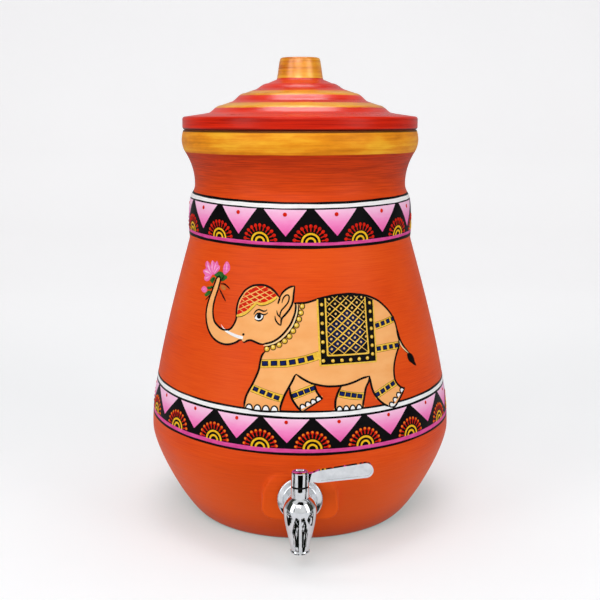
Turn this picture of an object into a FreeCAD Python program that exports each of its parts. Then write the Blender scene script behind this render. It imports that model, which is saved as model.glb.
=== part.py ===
import FreeCAD, Part
import os
import re
import Sketcher

# Clay water pot with a tap.  Millimetres, +Z up.  The origin is on the pot's axis in the
# plane it stands on.  The tap looks along -Y and its lever rests along +X.

doc = FreeCAD.newDocument("clay_water_pot")

# ---------------------------------------------------------------- driving dimensions
sizes = [
    # clay pot, outside: radii from its axis; above the crease all is measured down from the rim
    ("rim_height", 336, "height of the rim, where the lid lies"),
    ("base_radius", 91, "flat foot of the pot"),
    ("base_spread", 9.5, "handle of the curve that leaves the foot"),
    ("belly_radius", 132.5, "widest radius"),
    ("belly_height", 78, "height of the widest radius"),
    ("belly_round_below", 19.5, "handle of the curve below the belly"),
    ("belly_round_above", 50, "handle of the curve above the belly"),
    ("shoulder_radius", 96.7, "radius at the crease below the collar"),
    ("shoulder_round", 3.5, "handle of the curve that ends in the crease"),
    ("collar_bulge", 0.7, "painted collar, proud of the crease"),
    ("collar_taper", 0.6, "collar's upper edge, inside the crease's radius"),
    ("collar_rise", 31, "from the crease to the collar's upper edge"),
    ("neck_step", 4.7, "from the collar's upper edge in to the neck"),
    ("neck_rise", 15.5, "from the collar's upper edge to the neck"),
    ("neck_hollow", 2.1, "depth of the hollow above the neck"),
    ("bead_step", 8.4, "from the neck out to the rim bead"),
    ("bead_foot_rise", 27.5, "from the neck to the rim bead"),
    ("bead_flare", 1.2, "from the bead's lower edge out to its upper one"),
    ("bead_bulge", 1.65, "how far the bead bulges"),
    ("bead_rise", 18, "height of the bead, up to the rim"),
    ("rim_edge", 1.8, "rounding between the bead and the rim"),
    # clay pot, inside
    ("rim_width", 15, "from the bead's upper edge in to the mouth"),
    ("mouth_edge", 3, "rounded inner edge of the rim"),
    ("pot_wall", 9, "clay thickness"),
    ("pot_floor", 12, "floor thickness"),
    ("well_margin", 13, "from the foot's edge in to the flat part of the floor inside"),
    ("well_round", 16, "handle of the curve that leaves the floor"),
    # flat clay pad that carries the tap
    ("pad_sink", 1.5, "pad face behind the widest radius of the belly"),
    ("pad_width", 60, "width of the pad"),
    ("pad_below", 21, "from the tap's axis down to the pad's lower edge"),
    ("pad_above", 23, "from the tap's axis up to the pad's upper edge"),
    ("pad_corner", 13, "lower corners"),
    ("pad_shoulder", 22, "upper corners"),
    ("pad_edge", 3.5, "rounding round the face"),
    ("clay_at_tap", 8.5, "clay left between the gaskets"),
    ("seat_margin", 1.5, "flat seats of the clay, beyond gasket and washer"),
    ("shank_clearance", 0.6, "play of the shank in the clay"),
    # lid, its heights stacked up from the rim
    ("lid_overhang", 0.2, "lid's edge beyond the bead's upper edge"),
    ("lid_edge", 2.2, "rounding of the edge"),
    ("lid_flange", 11, "height of the edge"),
    ("lid_slope", 19.2, "radial length of the sloping flange"),
    ("lid_slope_rise", 2.5, "rise of that slope"),
    ("tier_lip", 4, "radial length of the lip outside tier one"),
    ("tier_lip_rise", 0.8, "rise of that lip"),
    ("tier_pitch", 20, "radial step from tier to tier"),
    ("tier_ramp", 10, "radial length of a tier's ramp"),
    ("tier_one", 6.2, "rise of the first ramp"),
    ("tier_two", 6.8, "rise of the second ramp"),
    ("tier_three", 5, "rise of the third ramp"),
    ("tier_tread", 3.3, "rise from a ramp to the next"),
    ("knob_radius", 20, "knob at its foot"),
    ("knob_taper", 2.6, "from the knob's foot in to its side below the rounded top"),
    ("knob_height", 18.3, "knob above its foot"),
    ("knob_dome", 2.5, "height of its rounded top"),
    ("knob_round", 2.9, "radial length of its rounded top"),
    ("spigot_play", 2.4, "between the lid's locating ring and the neck"),
    ("spigot_depth", 12, "how far the ring reaches into the neck"),
    ("spigot_wall", 7, "thickness of the ring"),
    ("spigot_chamfer", 1, "chamfers at its foot"),
    ("lid_wall", 9, "thickness of the lid under the tiers"),
    # tap, measured from the crossing of its two axes
    ("tap_height", 51, "height of the inlet axis"),
    ("tap_reach", 25, "from the pad's face to the valve axis"),
    ("globe_radius", 12.9, "round body at the crossing"),
    ("arm_radius", 12.4, "horizontal arm"),
    ("arm_flare", 1.2, "arm where it meets the flange"),
    ("flange_radius", 18, "flange against the pad"),
    ("flange_thickness", 3, "flange"),
    ("flange_edge", 1.4, "rounded front edge of the flange"),
    ("barrel_wall", 1.4, "wall of the upright barrel"),
    ("spout_wall", 1.5, "wall of the spout above its lip"),
    ("spout_length", 33.5, "outlet below the crossing"),
    ("throat_wall", 2.6, "wall of the spout below the globe"),
    ("throat_height", 6.5, "height of that place above the outlet"),
    ("lip_wall", 2, "wall of the rolled lip at the outlet"),
    ("lip_height", 2, "height of the lip"),
    ("chamber_radius", 5.5, "upright bore that holds the plug"),
    ("chamber_top", 15, "roof of that bore"),
    ("roof_thickness", 4, "roof of the barrel"),
    ("inlet_radius", 4, "horizontal bore"),
    ("shank_radius", 8, "threaded shank"),
    ("shank_end", 3, "shank beyond the nut"),
    ("shank_chamfer", 1, "chamfer on the shank"),
    # sealing and clamping
    ("gasket_radius", 15, "both gaskets"),
    ("gasket_thickness", 2, "both gaskets"),
    ("washer_radius", 15.5, "backing washer"),
    ("washer_thickness", 1.5, "backing washer"),
    ("nut_flats", 24, "across the flats"),
    ("nut_thickness", 8, "back nut"),
    ("nut_collar", 1.2, "round collar of the nut"),
    ("thread_play", 0.1, "between the shank and what is on it"),
    ("seal_step", 0.6, "seat of the port seal, wider than the inlet"),
    ("seal_wall", 1.4, "thickness of the port seal's ring"),
    ("seal_depth", 9, "back of the port seal from the crossing"),
    # valve
    ("plug_play", 0.1, "between the plug and its chamber"),
    ("plug_bottom", 13, "plug below the crossing"),
    ("plug_bore", 2.9, "waterway inside the plug"),
    ("plug_bore_top", 5.5, "roof of the waterway above the crossing"),
    ("port_radius", 3, "side port"),
    ("ring_section", 1.2, "thickness of an O-ring"),
    ("ring_height", 8.5, "O-rings above and below the crossing"),
    ("ring_play", 0.04, "play round an O-ring"),
    ("stem_radius", 3.4, "round stem"),
    ("stem_flats", 5, "across the two flats of the stem"),
    ("stem_gap", 0.2, "stem's end below the roof of its socket"),
    ("washer_gap", 0.8, "stem washer between barrel and lever"),
    # lever
    ("hub_radius", 6.7, "lever hub"),
    ("hub_chamfer", 0.6, "broken edges of the hub"),
    ("socket_depth", 5, "socket for the stem"),
    ("socket_play", 0.06, "round the stem's flats"),
    ("web_thickness", 1.8, "hub web under the screw head"),
    ("well_depth", 2.9, "well above the web"),
    ("screw_well_radius", 3.4, "well above the web"),
    ("cap_radius", 5.2, "recess for the cap"),
    ("cap_thickness", 0.9, "cap"),
    ("cap_sink", 0.4, "cap below the top of the hub"),
    ("blade_length", 56, "lever tip from the valve axis"),
    ("blade_rise", 7.9, "rise of the lever from axis to tip"),
    ("blade_middle", 5.5, "middle of the lever at the axis, above the hub's foot"),
    ("neck_depth", 6.8, "depth of the lever at the hub"),
    ("blade_start", 16, "where the blade begins"),
    ("blade_start_depth", 9.7, "depth of the blade there"),
    ("blade_end_depth", 11.7, "depth of the blade near its tip"),
    ("blade_thickness", 3.5, "blade"),
    ("blade_frame", 1.5, "raised frame round the panel"),
    ("panel_depth", 0.5, "recessed panel on the front"),
    ("screw_radius", 1.25, "lever screw"),
    ("screw_length", 8, "lever screw below its head"),
    ("screw_head_radius", 2.5, "screw head"),
    ("screw_head_height", 1.9, "screw head"),
    ("screw_play", 0.05, "round the screw"),
]

sheet = doc.addObject("Spreadsheet::Sheet", "sizes")
for row, (name, value, meaning) in enumerate(sizes, start=1):
    sheet.set("A%d" % row, meaning)
    sheet.set("B%d" % row, str(value))
    sheet.setAlias("B%d" % row, name)
doc.recompute()
cellNames = {name for name, value, meaning in sizes}


# ---------------------------------------------------------------- helpers
def cells(formula):
    """Turn the names of sizes in a formula into references to the sheet."""
    return re.sub(r"[a-z_]+", lambda word: "sizes." * (word.group() in cellNames) + word.group(), formula)


def bind(thing, path, formula):
    thing.setExpression(path, cells(formula))


def number(formula):
    """The present value of a formula, used to draw a sketch where its constraints want it."""
    result = sheet.evalExpression(cells(formula))
    return float(getattr(result, "Value", result))


def newBody(label, height="0", reach="0"):
    """A body whose own origin stands on the valve axis or on the pot's axis."""
    body = doc.addObject("PartDesign::Body", label)
    body.Label = label
    bind(body, "Placement.Base.z", height)
    bind(body, "Placement.Base.y", reach)
    return body


def newSketch(body, name, role):
    sketch = body.newObject("Sketcher::SketchObject", name)
    plane = next(f for f in body.Origin.OriginFeatures if f.Role == role)
    sketch.AttachmentSupport = [(plane, "")]
    sketch.MapMode = "FlatFace"
    return sketch


def pin(sketch, geometry, end, x, y):
    """Tie one point of a sketch to the formulas of its two coordinates."""
    for formula, axis, kind in ((x, -2, "DistanceX"), (y, -1, "DistanceY")):
        if formula == "0":
            sketch.addConstraint(Sketcher.Constraint("PointOnObject", geometry, end, axis))
            continue
        index = sketch.addConstraint(Sketcher.Constraint(kind, -1, 1, geometry, end, number(formula)))
        bind(sketch, "Constraints[%d]" % index, formula)


def arcThrough(start, end, radius, side):
    """The short arc from start to end; its centre is on that side of the way travelled."""
    chord = end - start
    half = chord.Length / 2
    across = FreeCAD.Vector(-chord.y, chord.x, 0).normalize() * (1 if side == "left" else -1)
    centre = (start + end) / 2 + across * (radius ** 2 - half ** 2) ** 0.5
    middle = centre - across * radius
    return Part.Arc(start, middle, end)


def outline(sketch, start, moves):
    """Draw one closed outline.  A move is one of
    ("line", x, y), ("arc", x, y, radius, side) and ("curve", x1, y1, x2, y2, x, y),
    where the curve's first two points are the handles of a cubic."""
    first = here = FreeCAD.Vector(number(start[0]), number(start[1]), 0)
    ends = []
    for count, move in enumerate(moves, start=1):
        last = count == len(moves)
        target = move[-2:] if move[0] == "curve" else move[1:3]
        there = first if last else FreeCAD.Vector(number(target[0]), number(target[1]), 0)
        come, go = 1, 2
        if move[0] == "line":
            piece = sketch.addGeometry(Part.LineSegment(here, there))
        elif move[0] == "arc":
            if move[4] == "right":
                come, go = 2, 1
            piece = sketch.addGeometry(arcThrough(here, there, number(move[3]), move[4]))
            index = sketch.addConstraint(Sketcher.Constraint("Radius", piece, number(move[3])))
            bind(sketch, "Constraints[%d]" % index, move[3])
        else:
            handles = [FreeCAD.Vector(number(move[1]), number(move[2]), 0),
                       FreeCAD.Vector(number(move[3]), number(move[4]), 0)]
            cubic = Part.BSplineCurve()
            cubic.buildFromPolesMultsKnots([here] + handles + [there], [4, 4], [0, 1], False, 3)
            piece = sketch.addGeometry(cubic)
            sketch.exposeInternalGeometry(piece)
            pin(sketch, piece + 2, 3, move[1], move[2])
            pin(sketch, piece + 3, 3, move[3], move[4])
        if ends:
            sketch.addConstraint(Sketcher.Constraint("Coincident", ends[-1][0], ends[-1][2], piece, come))
        if not last:
            pin(sketch, piece, go, *target)
        ends.append((piece, come, go))
        here = there
    sketch.addConstraint(Sketcher.Constraint("Coincident", ends[-1][0], ends[-1][2], ends[0][0], ends[0][1]))
    pin(sketch, ends[0][0], ends[0][1], *start)


def circle(sketch, x, y, radius):
    centre = FreeCAD.Vector(number(x), number(y), 0)
    ring = sketch.addGeometry(Part.Circle(centre, FreeCAD.Vector(0, 0, 1), number(radius)))
    pin(sketch, ring, 3, x, y)
    index = sketch.addConstraint(Sketcher.Constraint("Radius", ring, number(radius)))
    bind(sketch, "Constraints[%d]" % index, radius)


def turned(body, name, kind, role, axis, start, moves):
    """Revolve (or groove) one outline about an axis of its own sketch."""
    sketch = newSketch(body, name + "_outline", role)
    outline(sketch, start, moves)
    feature = body.newObject("PartDesign::" + kind, name)
    feature.Profile = sketch
    feature.ReferenceAxis = (sketch, [axis])
    feature.Angle = 360
    return feature


def pressed(body, name, kind, sketch, length, reversed=False, midplane=False):
    """Pad or pocket a sketch by a formula's length."""
    feature = body.newObject("PartDesign::" + kind, name)
    feature.Profile = sketch
    bind(feature, "Length", length)
    feature.Reversed = reversed
    feature.Midplane = midplane
    return feature


def box(x1, y1, x2, y2):
    """Start and moves of a rectangle."""
    return (x1, y1), [("line", x2, y1), ("line", x2, y2), ("line", x1, y2), ("line", x1, y1)]


# heights and radii of the pot and its lid, as formulas of the sizes
beadHeight = "(rim_height - bead_rise)"
neckHeight = "(rim_height - bead_rise - bead_foot_rise)"
collarTop = "(rim_height - bead_rise - bead_foot_rise - neck_rise)"
creaseHeight = "(rim_height - bead_rise - bead_foot_rise - neck_rise - collar_rise)"
collarRadius = "(shoulder_radius - collar_taper)"
neckRadius = "(shoulder_radius - collar_taper - neck_step)"
beadRadius = "(shoulder_radius - collar_taper - neck_step + bead_step)"
rimRadius = "(shoulder_radius - collar_taper - neck_step + bead_step + bead_flare)"
mouthRadius = "(%s - rim_width)" % rimRadius
padFront = "(belly_radius - pad_sink)"
lidRadius = "(%s + lid_overhang)" % rimRadius
slopeRadius = "(%s - lid_slope)" % lidRadius
tierRadius = "(%s - lid_slope - tier_lip)" % lidRadius
spigotRadius = "(%s - pot_wall - spigot_play)" % neckRadius
knobWaist = "(knob_radius - knob_taper)"


def sweep(across, along, depth):
    """Radius of the arc over that chord which bulges by that depth."""
    return "((%s) ^ 2 + (%s) ^ 2) / (8 * %s) + %s / 2" % (across, along, depth, depth)


# places along the tap, as formulas of the sizes
valveReach = "-(belly_radius - pad_sink + tap_reach)"
barrelRadius = "(chamber_radius + barrel_wall)"
barrelTop = "(chamber_top + roof_thickness)"
sealRadius = "(inlet_radius + seal_step)"
seatPlane = "tap_reach + clay_at_tap"
washerStart = "tap_reach + clay_at_tap + gasket_thickness"
nutStart = "tap_reach + clay_at_tap + gasket_thickness + washer_thickness"
shankTip = "tap_reach + clay_at_tap + gasket_thickness + washer_thickness + nut_thickness + shank_end"
flangeBack = "tap_reach - gasket_thickness"
flangeFront = "tap_reach - gasket_thickness - flange_thickness"
plugRadius = "chamber_radius - plug_play"
hubFoot = "(chamber_top + roof_thickness + washer_gap)"
screwSeat = "(%s + socket_depth + web_thickness)" % hubFoot
hubTop = "(%s + socket_depth + web_thickness + well_depth + cap_thickness + cap_sink)" % hubFoot
hubHeight = "(socket_depth + web_thickness + well_depth + cap_thickness + cap_sink)"
stemTop = "(%s + socket_depth - stem_gap)" % hubFoot


# ---------------------------------------------------------------- clay pot
def clayPot():
    pot = newBody("clay_pot")
    # the block behind the pad's face comes first, so that its rounded edge is a simple one
    face = newSketch(pot, "pad_face", "XZ_Plane")
    right, left = "pad_width / 2", "-pad_width / 2"
    low, high = "tap_height - pad_below", "tap_height + pad_above"
    outline(face, (left + " + pad_corner", low), [
        ("line", right + " - pad_corner", low),
        ("arc", right, low + " + pad_corner", "pad_corner", "left"),
        ("line", right, high + " - pad_shoulder"),
        ("arc", right + " - pad_shoulder", high, "pad_shoulder", "left"),
        ("line", left + " + pad_shoulder", high),
        ("arc", left, high + " - pad_shoulder", "pad_shoulder", "left"),
        ("line", left, low + " + pad_corner"),
        ("arc", left + " + pad_corner", low, "pad_corner", "left"),
    ])
    block = pressed(pot, "pad_block", "Pad", face, padFront)
    doc.recompute()
    front = min(range(len(block.Shape.Faces)), key=lambda i: block.Shape.Faces[i].CenterOfMass.y)
    edge = pot.newObject("PartDesign::Fillet", "pad_rounding")
    edge.Base = (block, ["Face%d" % (front + 1)])
    bind(edge, "Radius", "pad_edge")
    bulge = "shoulder_radius + collar_bulge"
    swell = "(%s + %s) / 2" % (collarTop, neckHeight)
    turned(pot, "pot_form", "Revolution", "XZ_Plane", "V_Axis", ("0", "0"), [
        ("line", "base_radius", "0"),
        ("curve", "base_radius + base_spread", "0",
         "belly_radius", "belly_height - belly_round_below", "belly_radius", "belly_height"),
        ("curve", "belly_radius", "belly_height + belly_round_above",
         "shoulder_radius", creaseHeight + " - shoulder_round", "shoulder_radius", creaseHeight),
        ("curve", bulge, creaseHeight + " + shoulder_round",
         bulge, collarTop + " - 2 * shoulder_round", collarRadius, collarTop),
        ("curve", collarRadius + " - neck_step / 8", swell, neckRadius, swell, neckRadius, neckHeight),
        ("arc", beadRadius, beadHeight, sweep("bead_step", "bead_foot_rise", "neck_hollow"), "right"),
        ("arc", rimRadius, "rim_height - rim_edge",
         sweep("bead_flare", "bead_rise - rim_edge", "bead_bulge"), "left"),
        ("arc", rimRadius + " - rim_edge", "rim_height", "rim_edge", "left"),
        ("line", "0", "rim_height"),
        ("line", "0", "0"),
    ])
    bellyInside = "belly_radius - pot_wall"
    creaseInside = "shoulder_radius - pot_wall"
    neckInside = neckRadius + " - pot_wall"
    wellRadius = "(base_radius - well_margin)"
    shoulderSwell = "(%s + %s) / 2" % (creaseHeight, neckHeight)
    mouthSwell = "(%s + rim_height) / 2" % neckHeight
    turned(pot, "pot_hollow", "Groove", "XZ_Plane", "V_Axis", ("0", "pot_floor"), [
        ("line", wellRadius, "pot_floor"),
        ("curve", wellRadius + " + well_round", "pot_floor",
         bellyInside, "belly_height - belly_round_below - pot_wall / 4", bellyInside, "belly_height"),
        ("curve", bellyInside, "belly_height + belly_round_above - pot_wall / 4",
         creaseInside, creaseHeight + " - shoulder_round", creaseInside, creaseHeight),
        ("curve", creaseInside, shoulderSwell, neckInside, shoulderSwell, neckInside, neckHeight),
        ("curve", neckInside, mouthSwell, mouthRadius, mouthSwell, mouthRadius, "rim_height - mouth_edge"),
        ("arc", mouthRadius + " + mouth_edge", "rim_height", "mouth_edge", "right"),
        ("line", "0", "rim_height"),
        ("line", "0", "pot_floor"),
    ])
    # flat seats for the gaskets, outside and inside
    face = newSketch(pot, "gasket_circle", "XZ_Plane")
    bind(face, "AttachmentOffset.Base.z", padFront)
    circle(face, "0", "tap_height", "gasket_radius + seat_margin")
    pressed(pot, "gasket_seat", "Pocket", face, "2 * pad_sink", reversed=True)
    seat = newSketch(pot, "seat_circle", "XZ_Plane")
    circle(seat, "0", "tap_height", "washer_radius + seat_margin")
    pressed(pot, "nut_seat", "Pocket", seat, padFront + " - clay_at_tap", reversed=True)
    hole = newSketch(pot, "shank_circle", "XZ_Plane")
    circle(hole, "0", "tap_height", "shank_radius + shank_clearance")
    pressed(pot, "shank_hole", "Pocket", hole, padFront + " + clay_at_tap", reversed=True)
    return pot


# ---------------------------------------------------------------- lid
def clayLid():
    lid = newBody("clay_lid", height="rim_height")
    tiers = []
    foot, height = tierRadius, "lid_flange + lid_slope_rise + tier_lip_rise"
    for rise in ("tier_one", "tier_two", "tier_three"):
        crest = "%s + %s" % (height, rise)
        tiers.append(("line", foot, height))
        tiers.append(("curve", foot + " - 0.3 * tier_ramp", "%s + %s / 4" % (height, rise),
                      foot + " - 0.6 * tier_ramp", crest, foot + " - tier_ramp", crest))
        dome = height
        foot, height = foot + " - tier_pitch", crest + " + tier_tread"
    knobFoot = height
    knobTop = knobFoot + " + knob_height"
    ringInside = spigotRadius + " - spigot_wall"
    turned(lid, "lid_form", "Revolution", "XZ_Plane", "V_Axis", (spigotRadius, "0"), [
        ("line", lidRadius + " - lid_edge", "0"),
        ("arc", lidRadius, "lid_edge", "lid_edge", "left"),
        ("line", lidRadius, "lid_flange - lid_edge"),
        ("arc", lidRadius + " - lid_edge", "lid_flange", "lid_edge", "left"),
        ("line", slopeRadius, "lid_flange + lid_slope_rise"),
        *tiers,
        ("line", "knob_radius", knobFoot),
        ("curve", "knob_radius - 0.4 * knob_taper", knobFoot + " + knob_height / 4",
         knobWaist + " + 0.4 * knob_taper", knobTop + " - 3 * knob_dome",
         knobWaist, knobTop + " - knob_dome"),
        ("curve", knobWaist + " - knob_dome / 6", knobTop + " - knob_dome / 8",
         knobWaist + " - knob_round / 2", knobTop, knobWaist + " - knob_round", knobTop),
        ("line", "0", knobTop),
        ("line", "0", dome),
        ("curve", tierRadius + " / 3", dome, ringInside + " - lid_wall / 2", "lid_flange",
         ringInside, "lid_flange + lid_slope_rise + tier_lip_rise - lid_wall"),
        ("line", ringInside, "-spigot_depth + spigot_chamfer"),
        ("line", ringInside + " + spigot_chamfer", "-spigot_depth"),
        ("line", spigotRadius + " - spigot_chamfer", "-spigot_depth"),
        ("line", spigotRadius, "-spigot_depth + spigot_chamfer"),
        ("line", spigotRadius, "0"),
    ])
    return lid


# ---------------------------------------------------------------- tap body
def tapBody():
    tap = newBody("tap_body", height="tap_height", reach=valveReach)
    shoulder = "sqrt(globe_radius ^ 2 - %s ^ 2)" % barrelRadius
    lip, spout = "chamber_radius + lip_wall", "chamber_radius + spout_wall"
    throat = "chamber_radius + throat_wall"
    turned(tap, "spout_form", "Revolution", "YZ_Plane", "V_Axis", ("0", "-spout_length"), [
        ("line", lip, "-spout_length"),
        ("line", lip, "-spout_length + lip_height / 2"),
        ("line", spout, "-spout_length + lip_height"),
        ("line", throat, "-spout_length + throat_height"),
        ("curve", throat + " + 0.7", "-0.75 * (spout_length - throat_height)",
         "globe_radius", "-(spout_length - throat_height) / 3", "globe_radius", "0"),
        ("arc", barrelRadius, shoulder, "globe_radius", "left"),
        ("line", barrelRadius, barrelTop),
        ("line", "0", barrelTop),
        ("line", "0", "-spout_length"),
    ])
    turned(tap, "arm_form", "Revolution", "YZ_Plane", "H_Axis", ("0", "0"), [
        ("line", "0", "arm_radius"),
        ("line", "0.9 * globe_radius", "arm_radius"),
        ("curve", "1.15 * globe_radius", "arm_radius", flangeFront + " - arm_flare",
         "arm_radius + arm_flare / 3", flangeFront, "arm_radius + arm_flare"),
        ("line", flangeFront, "flange_radius - flange_edge"),
        ("arc", flangeFront + " + flange_edge", "flange_radius", "flange_edge", "right"),
        ("line", flangeBack, "flange_radius"),
        ("line", flangeBack, "shank_radius"),
        ("line", shankTip + " - shank_chamfer", "shank_radius"),
        ("line", shankTip, "shank_radius - shank_chamfer"),
        ("line", shankTip, "0"),
        ("line", "0", "0"),
    ])
    turned(tap, "plug_chamber", "Groove", "YZ_Plane", "V_Axis", ("0", "-spout_length"), [
        ("line", "chamber_radius", "-spout_length"),
        ("line", "chamber_radius", "chamber_top"),
        ("line", "stem_radius + plug_play", "chamber_top"),
        ("line", "stem_radius + plug_play", barrelTop),
        ("line", "0", barrelTop),
        ("line", "0", "-spout_length"),
    ])
    turned(tap, "inlet", "Groove", "YZ_Plane", "H_Axis", ("0", "0"), [
        ("line", "0", sealRadius),
        ("line", "seal_depth", sealRadius),
        ("line", "seal_depth", "inlet_radius"),
        ("line", shankTip, "inlet_radius"),
        ("line", shankTip, "0"),
        ("line", "0", "0"),
    ])
    return tap


def ringOnShank(label, start, thickness, radius, bore):
    """A flat ring on the tap's shank; start is its face nearest the valve axis."""
    ring = newBody(label, height="tap_height", reach=valveReach)
    turned(ring, label + "_form", "Revolution", "YZ_Plane", "H_Axis",
           *box(start, bore, "%s + %s" % (start, thickness), radius))
    return ring


def backNut():
    nut = newBody("back_nut", height="tap_height", reach="%s + %s" % (valveReach, nutStart))
    hexagon = newSketch(nut, "nut_hexagon", "XZ_Plane")
    side = "nut_flats / sqrt(3)"
    outline(hexagon, (side, "0"), [
        ("line", side + " / 2", "nut_flats / 2"),
        ("line", "-%s / 2" % side, "nut_flats / 2"),
        ("line", "-" + side, "0"),
        ("line", "-%s / 2" % side, "-nut_flats / 2"),
        ("line", side + " / 2", "-nut_flats / 2"),
        ("line", side, "0"),
    ])
    pressed(nut, "nut_blank", "Pad", hexagon, "nut_thickness", reversed=True)
    turned(nut, "nut_corners", "Groove", "YZ_Plane", "H_Axis", ("nut_thickness", "nut_flats / 2"), [
        ("line", "nut_thickness", "nut_flats"),
        ("line", "nut_thickness - nut_collar", "nut_flats"),
        ("line", "nut_thickness - nut_collar", "nut_flats / 2 + 2 * nut_collar"),
        ("line", "nut_thickness", "nut_flats / 2"),
    ])
    turned(nut, "nut_bore", "Groove", "YZ_Plane", "H_Axis",
           *box("0", "0", "nut_thickness", "shank_radius + thread_play"))
    return nut


def portSeal():
    seal = newBody("port_seal", height="tap_height", reach=valveReach)
    turned(seal, "seal_form", "Revolution", "YZ_Plane", "H_Axis",
           *box("0", sealRadius + " - seal_wall", "seal_depth", sealRadius + " - plug_play / 2"))
    # the end that faces the plug is cut to the bore of the chamber
    saddle = newSketch(seal, "seal_saddle", "XY_Plane")
    circle(saddle, "0", "0", "chamber_radius")
    pressed(seal, "seal_end", "Pocket", saddle, "4 * " + sealRadius, midplane=True)
    return seal


# ---------------------------------------------------------------- valve plug and its seals
def valvePlug():
    plug = newBody("valve_plug", height="tap_height", reach=valveReach)
    grooveFloor = "chamber_radius - ring_section - 2 * ring_play"
    halfGroove = "(ring_section / 2 + ring_play)"
    turned(plug, "plug_form", "Revolution", "XZ_Plane", "V_Axis", ("plug_bore", "-plug_bottom"), [
        ("line", plugRadius, "-plug_bottom"),
        ("line", plugRadius, "-ring_height - " + halfGroove),
        ("line", grooveFloor, "-ring_height - " + halfGroove),
        ("line", grooveFloor, "-ring_height + " + halfGroove),
        ("line", plugRadius, "-ring_height + " + halfGroove),
        ("line", plugRadius, "ring_height - " + halfGroove),
        ("line", grooveFloor, "ring_height - " + halfGroove),
        ("line", grooveFloor, "ring_height + " + halfGroove),
        ("line", plugRadius, "ring_height + " + halfGroove),
        ("line", plugRadius, "chamber_top - plug_play"),
        ("line", "stem_radius", "chamber_top - plug_play"),
        ("line", "stem_radius", stemTop),
        ("line", "screw_radius + screw_play", stemTop),
        ("line", "screw_radius + screw_play", screwSeat + " - screw_length"),
        ("line", "0", screwSeat + " - screw_length"),
        ("line", "0", "plug_bore_top"),
        ("line", "plug_bore", "plug_bore_top"),
        ("line", "plug_bore", "-plug_bottom"),
    ])
    # the side port looks away from the inlet until the lever is turned
    port = newSketch(plug, "port_circle", "YZ_Plane")
    circle(port, "0", "0", "port_radius")
    pressed(plug, "side_port", "Pocket", port, "2 * chamber_radius")
    # two flats on the part of the stem inside the lever
    for name, sign in (("front", "-"), ("back", "")):
        flat = newSketch(plug, name + "_flat_outline", "YZ_Plane")
        outline(flat, *box(sign + "stem_flats / 2", hubFoot, sign + "2 * stem_radius", stemTop))
        pressed(plug, name + "_flat", "Pocket", flat, "4 * stem_radius", midplane=True)
    return plug


def plugRings():
    rings = doc.addObject("Part::Compound", "plug_o_rings")
    rings.Label = "plug_o_rings"
    links = []
    for name, sign in (("lower", "-"), ("upper", "+")):
        ring = doc.addObject("Part::Torus", name + "_o_ring")
        bind(ring, "Radius1", "chamber_radius - ring_play - ring_section / 2")
        bind(ring, "Radius2", "ring_section / 2")
        bind(ring, "Placement.Base.y", valveReach)
        bind(ring, "Placement.Base.z", "tap_height %s ring_height" % sign)
        links.append(ring)
    rings.Links = links
    return rings


def stemWasher():
    washer = newBody("stem_washer", height="tap_height", reach=valveReach)
    turned(washer, "stem_washer_form", "Revolution", "XZ_Plane", "V_Axis",
           *box("stem_radius + thread_play", barrelTop, barrelRadius + " - barrel_wall / 2", hubFoot))
    return washer


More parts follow.
